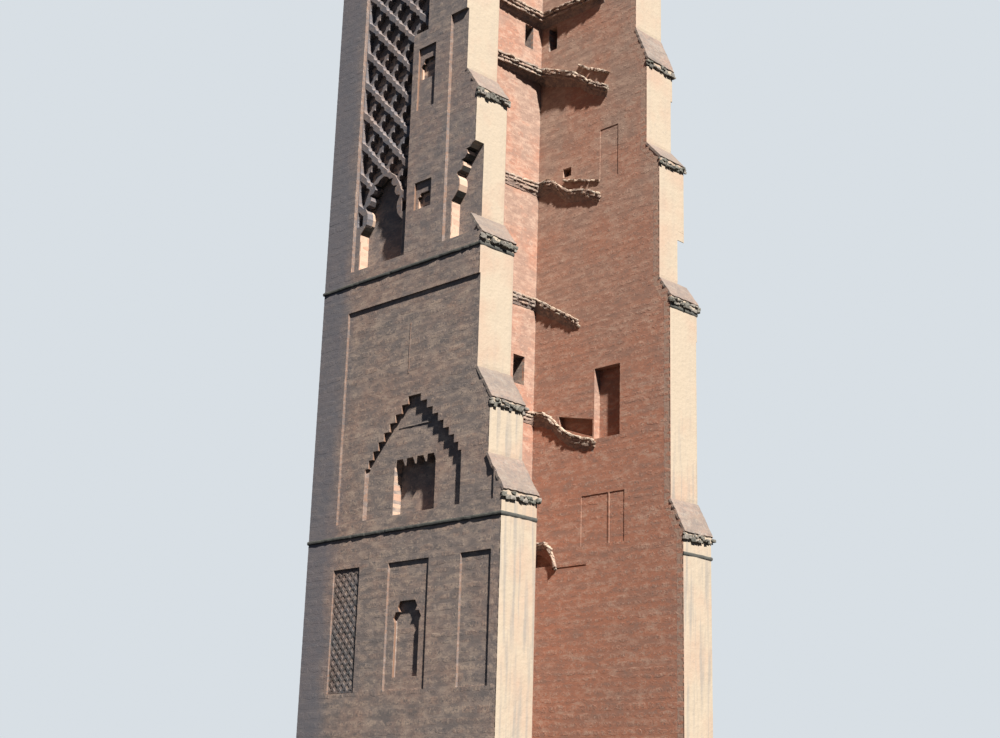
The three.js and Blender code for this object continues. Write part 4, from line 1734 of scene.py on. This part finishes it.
def make_camera():
    """A camera that looks up at the tower, turned by its yaw, pitch and roll."""
    data = bpy.data.cameras.new("view")
    data.lens = CAMERA_LENS
    data.sensor_width = SENSOR_WIDTH
    data.clip_end = FARTHEST_SEEN
    camera = placed("view", data)
    level = Vector((math.sin(CAMERA_YAW), math.cos(CAMERA_YAW), 0))
    forward = level * math.cos(CAMERA_PITCH) + Vector((0, 0, math.sin(CAMERA_PITCH)))
    right = Vector((math.cos(CAMERA_YAW), -math.sin(CAMERA_YAW), 0))
    up = right.cross(forward)
    rolled_right = right * math.cos(CAMERA_ROLL) + up * math.sin(CAMERA_ROLL)
    rolled_up = up * math.cos(CAMERA_ROLL) - right * math.sin(CAMERA_ROLL)
    turn = Matrix((rolled_right, rolled_up, -forward)).transposed()
    camera.matrix_world = Matrix.Translation(CAMERA_PLACE) @ turn.to_4x4()
    bpy.context.scene.camera = camera


def make_key_light():
    """A slightly soft key light from high behind the camera's right shoulder."""
    data = bpy.data.lights.new("key", "SUN")
    data.energy = SUN_STRENGTH
    data.angle = SUN_SOFTNESS
    data.color = SUN_COLOUR
    key = placed("key", data)
    key.rotation_euler = Vector(SUN_DIRECTION).to_track_quat("Z", "Y").to_euler()


def make_world():
    """A pale backdrop to the eye, and a weaker soft fill to the object."""
    world = bpy.data.worlds.new("studio")
    world.use_nodes = True
    tree = world.node_tree
    tree.nodes.clear()
    eye = add(tree, "ShaderNodeLightPath").outputs["Is Camera Ray"]
    shown = {"Color": rgba(colours().backdrop), "Strength": BACKDROP_STRENGTH}
    shown = add(tree, "ShaderNodeBackground", shown)
    fill = {"Color": rgba(FILL_COLOUR), "Strength": FILL_STRENGTH}
    fill = add(tree, "ShaderNodeBackground", fill)
    mix = add(tree, "ShaderNodeMixShader", {0: eye, 1: fill.outputs[0], 2: shown.outputs[0]})
    add(tree, "ShaderNodeOutputWorld", {"Surface": mix.outputs[0]})
    bpy.context.scene.world = world


def make_floor():
    """A plain floor that is pale to the eye and bounces little of the key light."""
    material, tree = new_material("studio_floor")
    eye = add(tree, "ShaderNodeLightPath").outputs["Is Camera Ray"]
    pale = add(tree, "ShaderNodeBsdfDiffuse", {"Color": rgba(colours().floor)})
    dull = add(tree, "ShaderNodeBsdfDiffuse", {"Color": rgba(FLOOR_BOUNCE)})
    mix = add(tree, "ShaderNodeMixShader", {0: eye, 1: dull.outputs[0], 2: pale.outputs[0]})
    add(tree, "ShaderNodeOutputMaterial", {"Surface": mix.outputs[0]})
    reach = FLOOR_REACH
    corners = [(-reach, -reach, 0), (reach, -reach, 0), (reach, reach, 0), (-reach, reach, 0)]
    mesh = mesh_from(corners, [(0, 1, 2, 3)])
    mesh.materials.append(material)
    floor = placed("floor", mesh)
    floor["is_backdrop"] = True


class MINARET_PT_panel(bpy.types.Panel):
    """Lists the minaret's pieces in the sidebar"""

    bl_label = "Minaret"
    bl_idname = "MINARET_PT_panel"
    bl_space_type = "VIEW_3D"
    bl_region_type = "UI"
    bl_category = "Minaret"

    def draw(self, context):
        for operator in OPERATORS:
            self.layout.operator(operator.bl_idname)


OPERATORS = (
    MINARET_OT_cad_finishes,
    MINARET_OT_wall_stones,
    MINARET_OT_end_coats,
    MINARET_OT_copings,
    MINARET_OT_strings,
    MINARET_OT_tympanum_ledges,
    MINARET_OT_vault_stubs,
    MINARET_OT_nets,
    MINARET_OT_panel_lattices,
    MINARET_OT_arrises,
    MINARET_OT_crown_rubble,
    MINARET_OT_stage,
)
CLASSES = (MinaretStonework, MinaretNet, MinaretColours, *OPERATORS, MINARET_PT_panel)


def register():
    for cls in CLASSES:
        bpy.utils.register_class(cls)
    bpy.types.Scene.minaret_stonework = bpy.props.PointerProperty(type=MinaretStonework)
    bpy.types.Scene.minaret_net = bpy.props.PointerProperty(type=MinaretNet)
    bpy.types.Scene.minaret_colours = bpy.props.PointerProperty(type=MinaretColours)


def unregister():
    del bpy.types.Scene.minaret_colours
    del bpy.types.Scene.minaret_net
    del bpy.types.Scene.minaret_stonework
    for cls in reversed(CLASSES):
        bpy.utils.unregister_class(cls)


def main():
    register()
    for operator in OPERATORS:
        group, name = operator.bl_idname.split(".")
        getattr(getattr(bpy.ops, group), name)()
    boxes = {"cad": CAD_BOX, "visual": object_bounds()}
    {key: [list(corner) for corner in box] for key, box in boxes.items()}


if __name__ == "__main__":
    main()
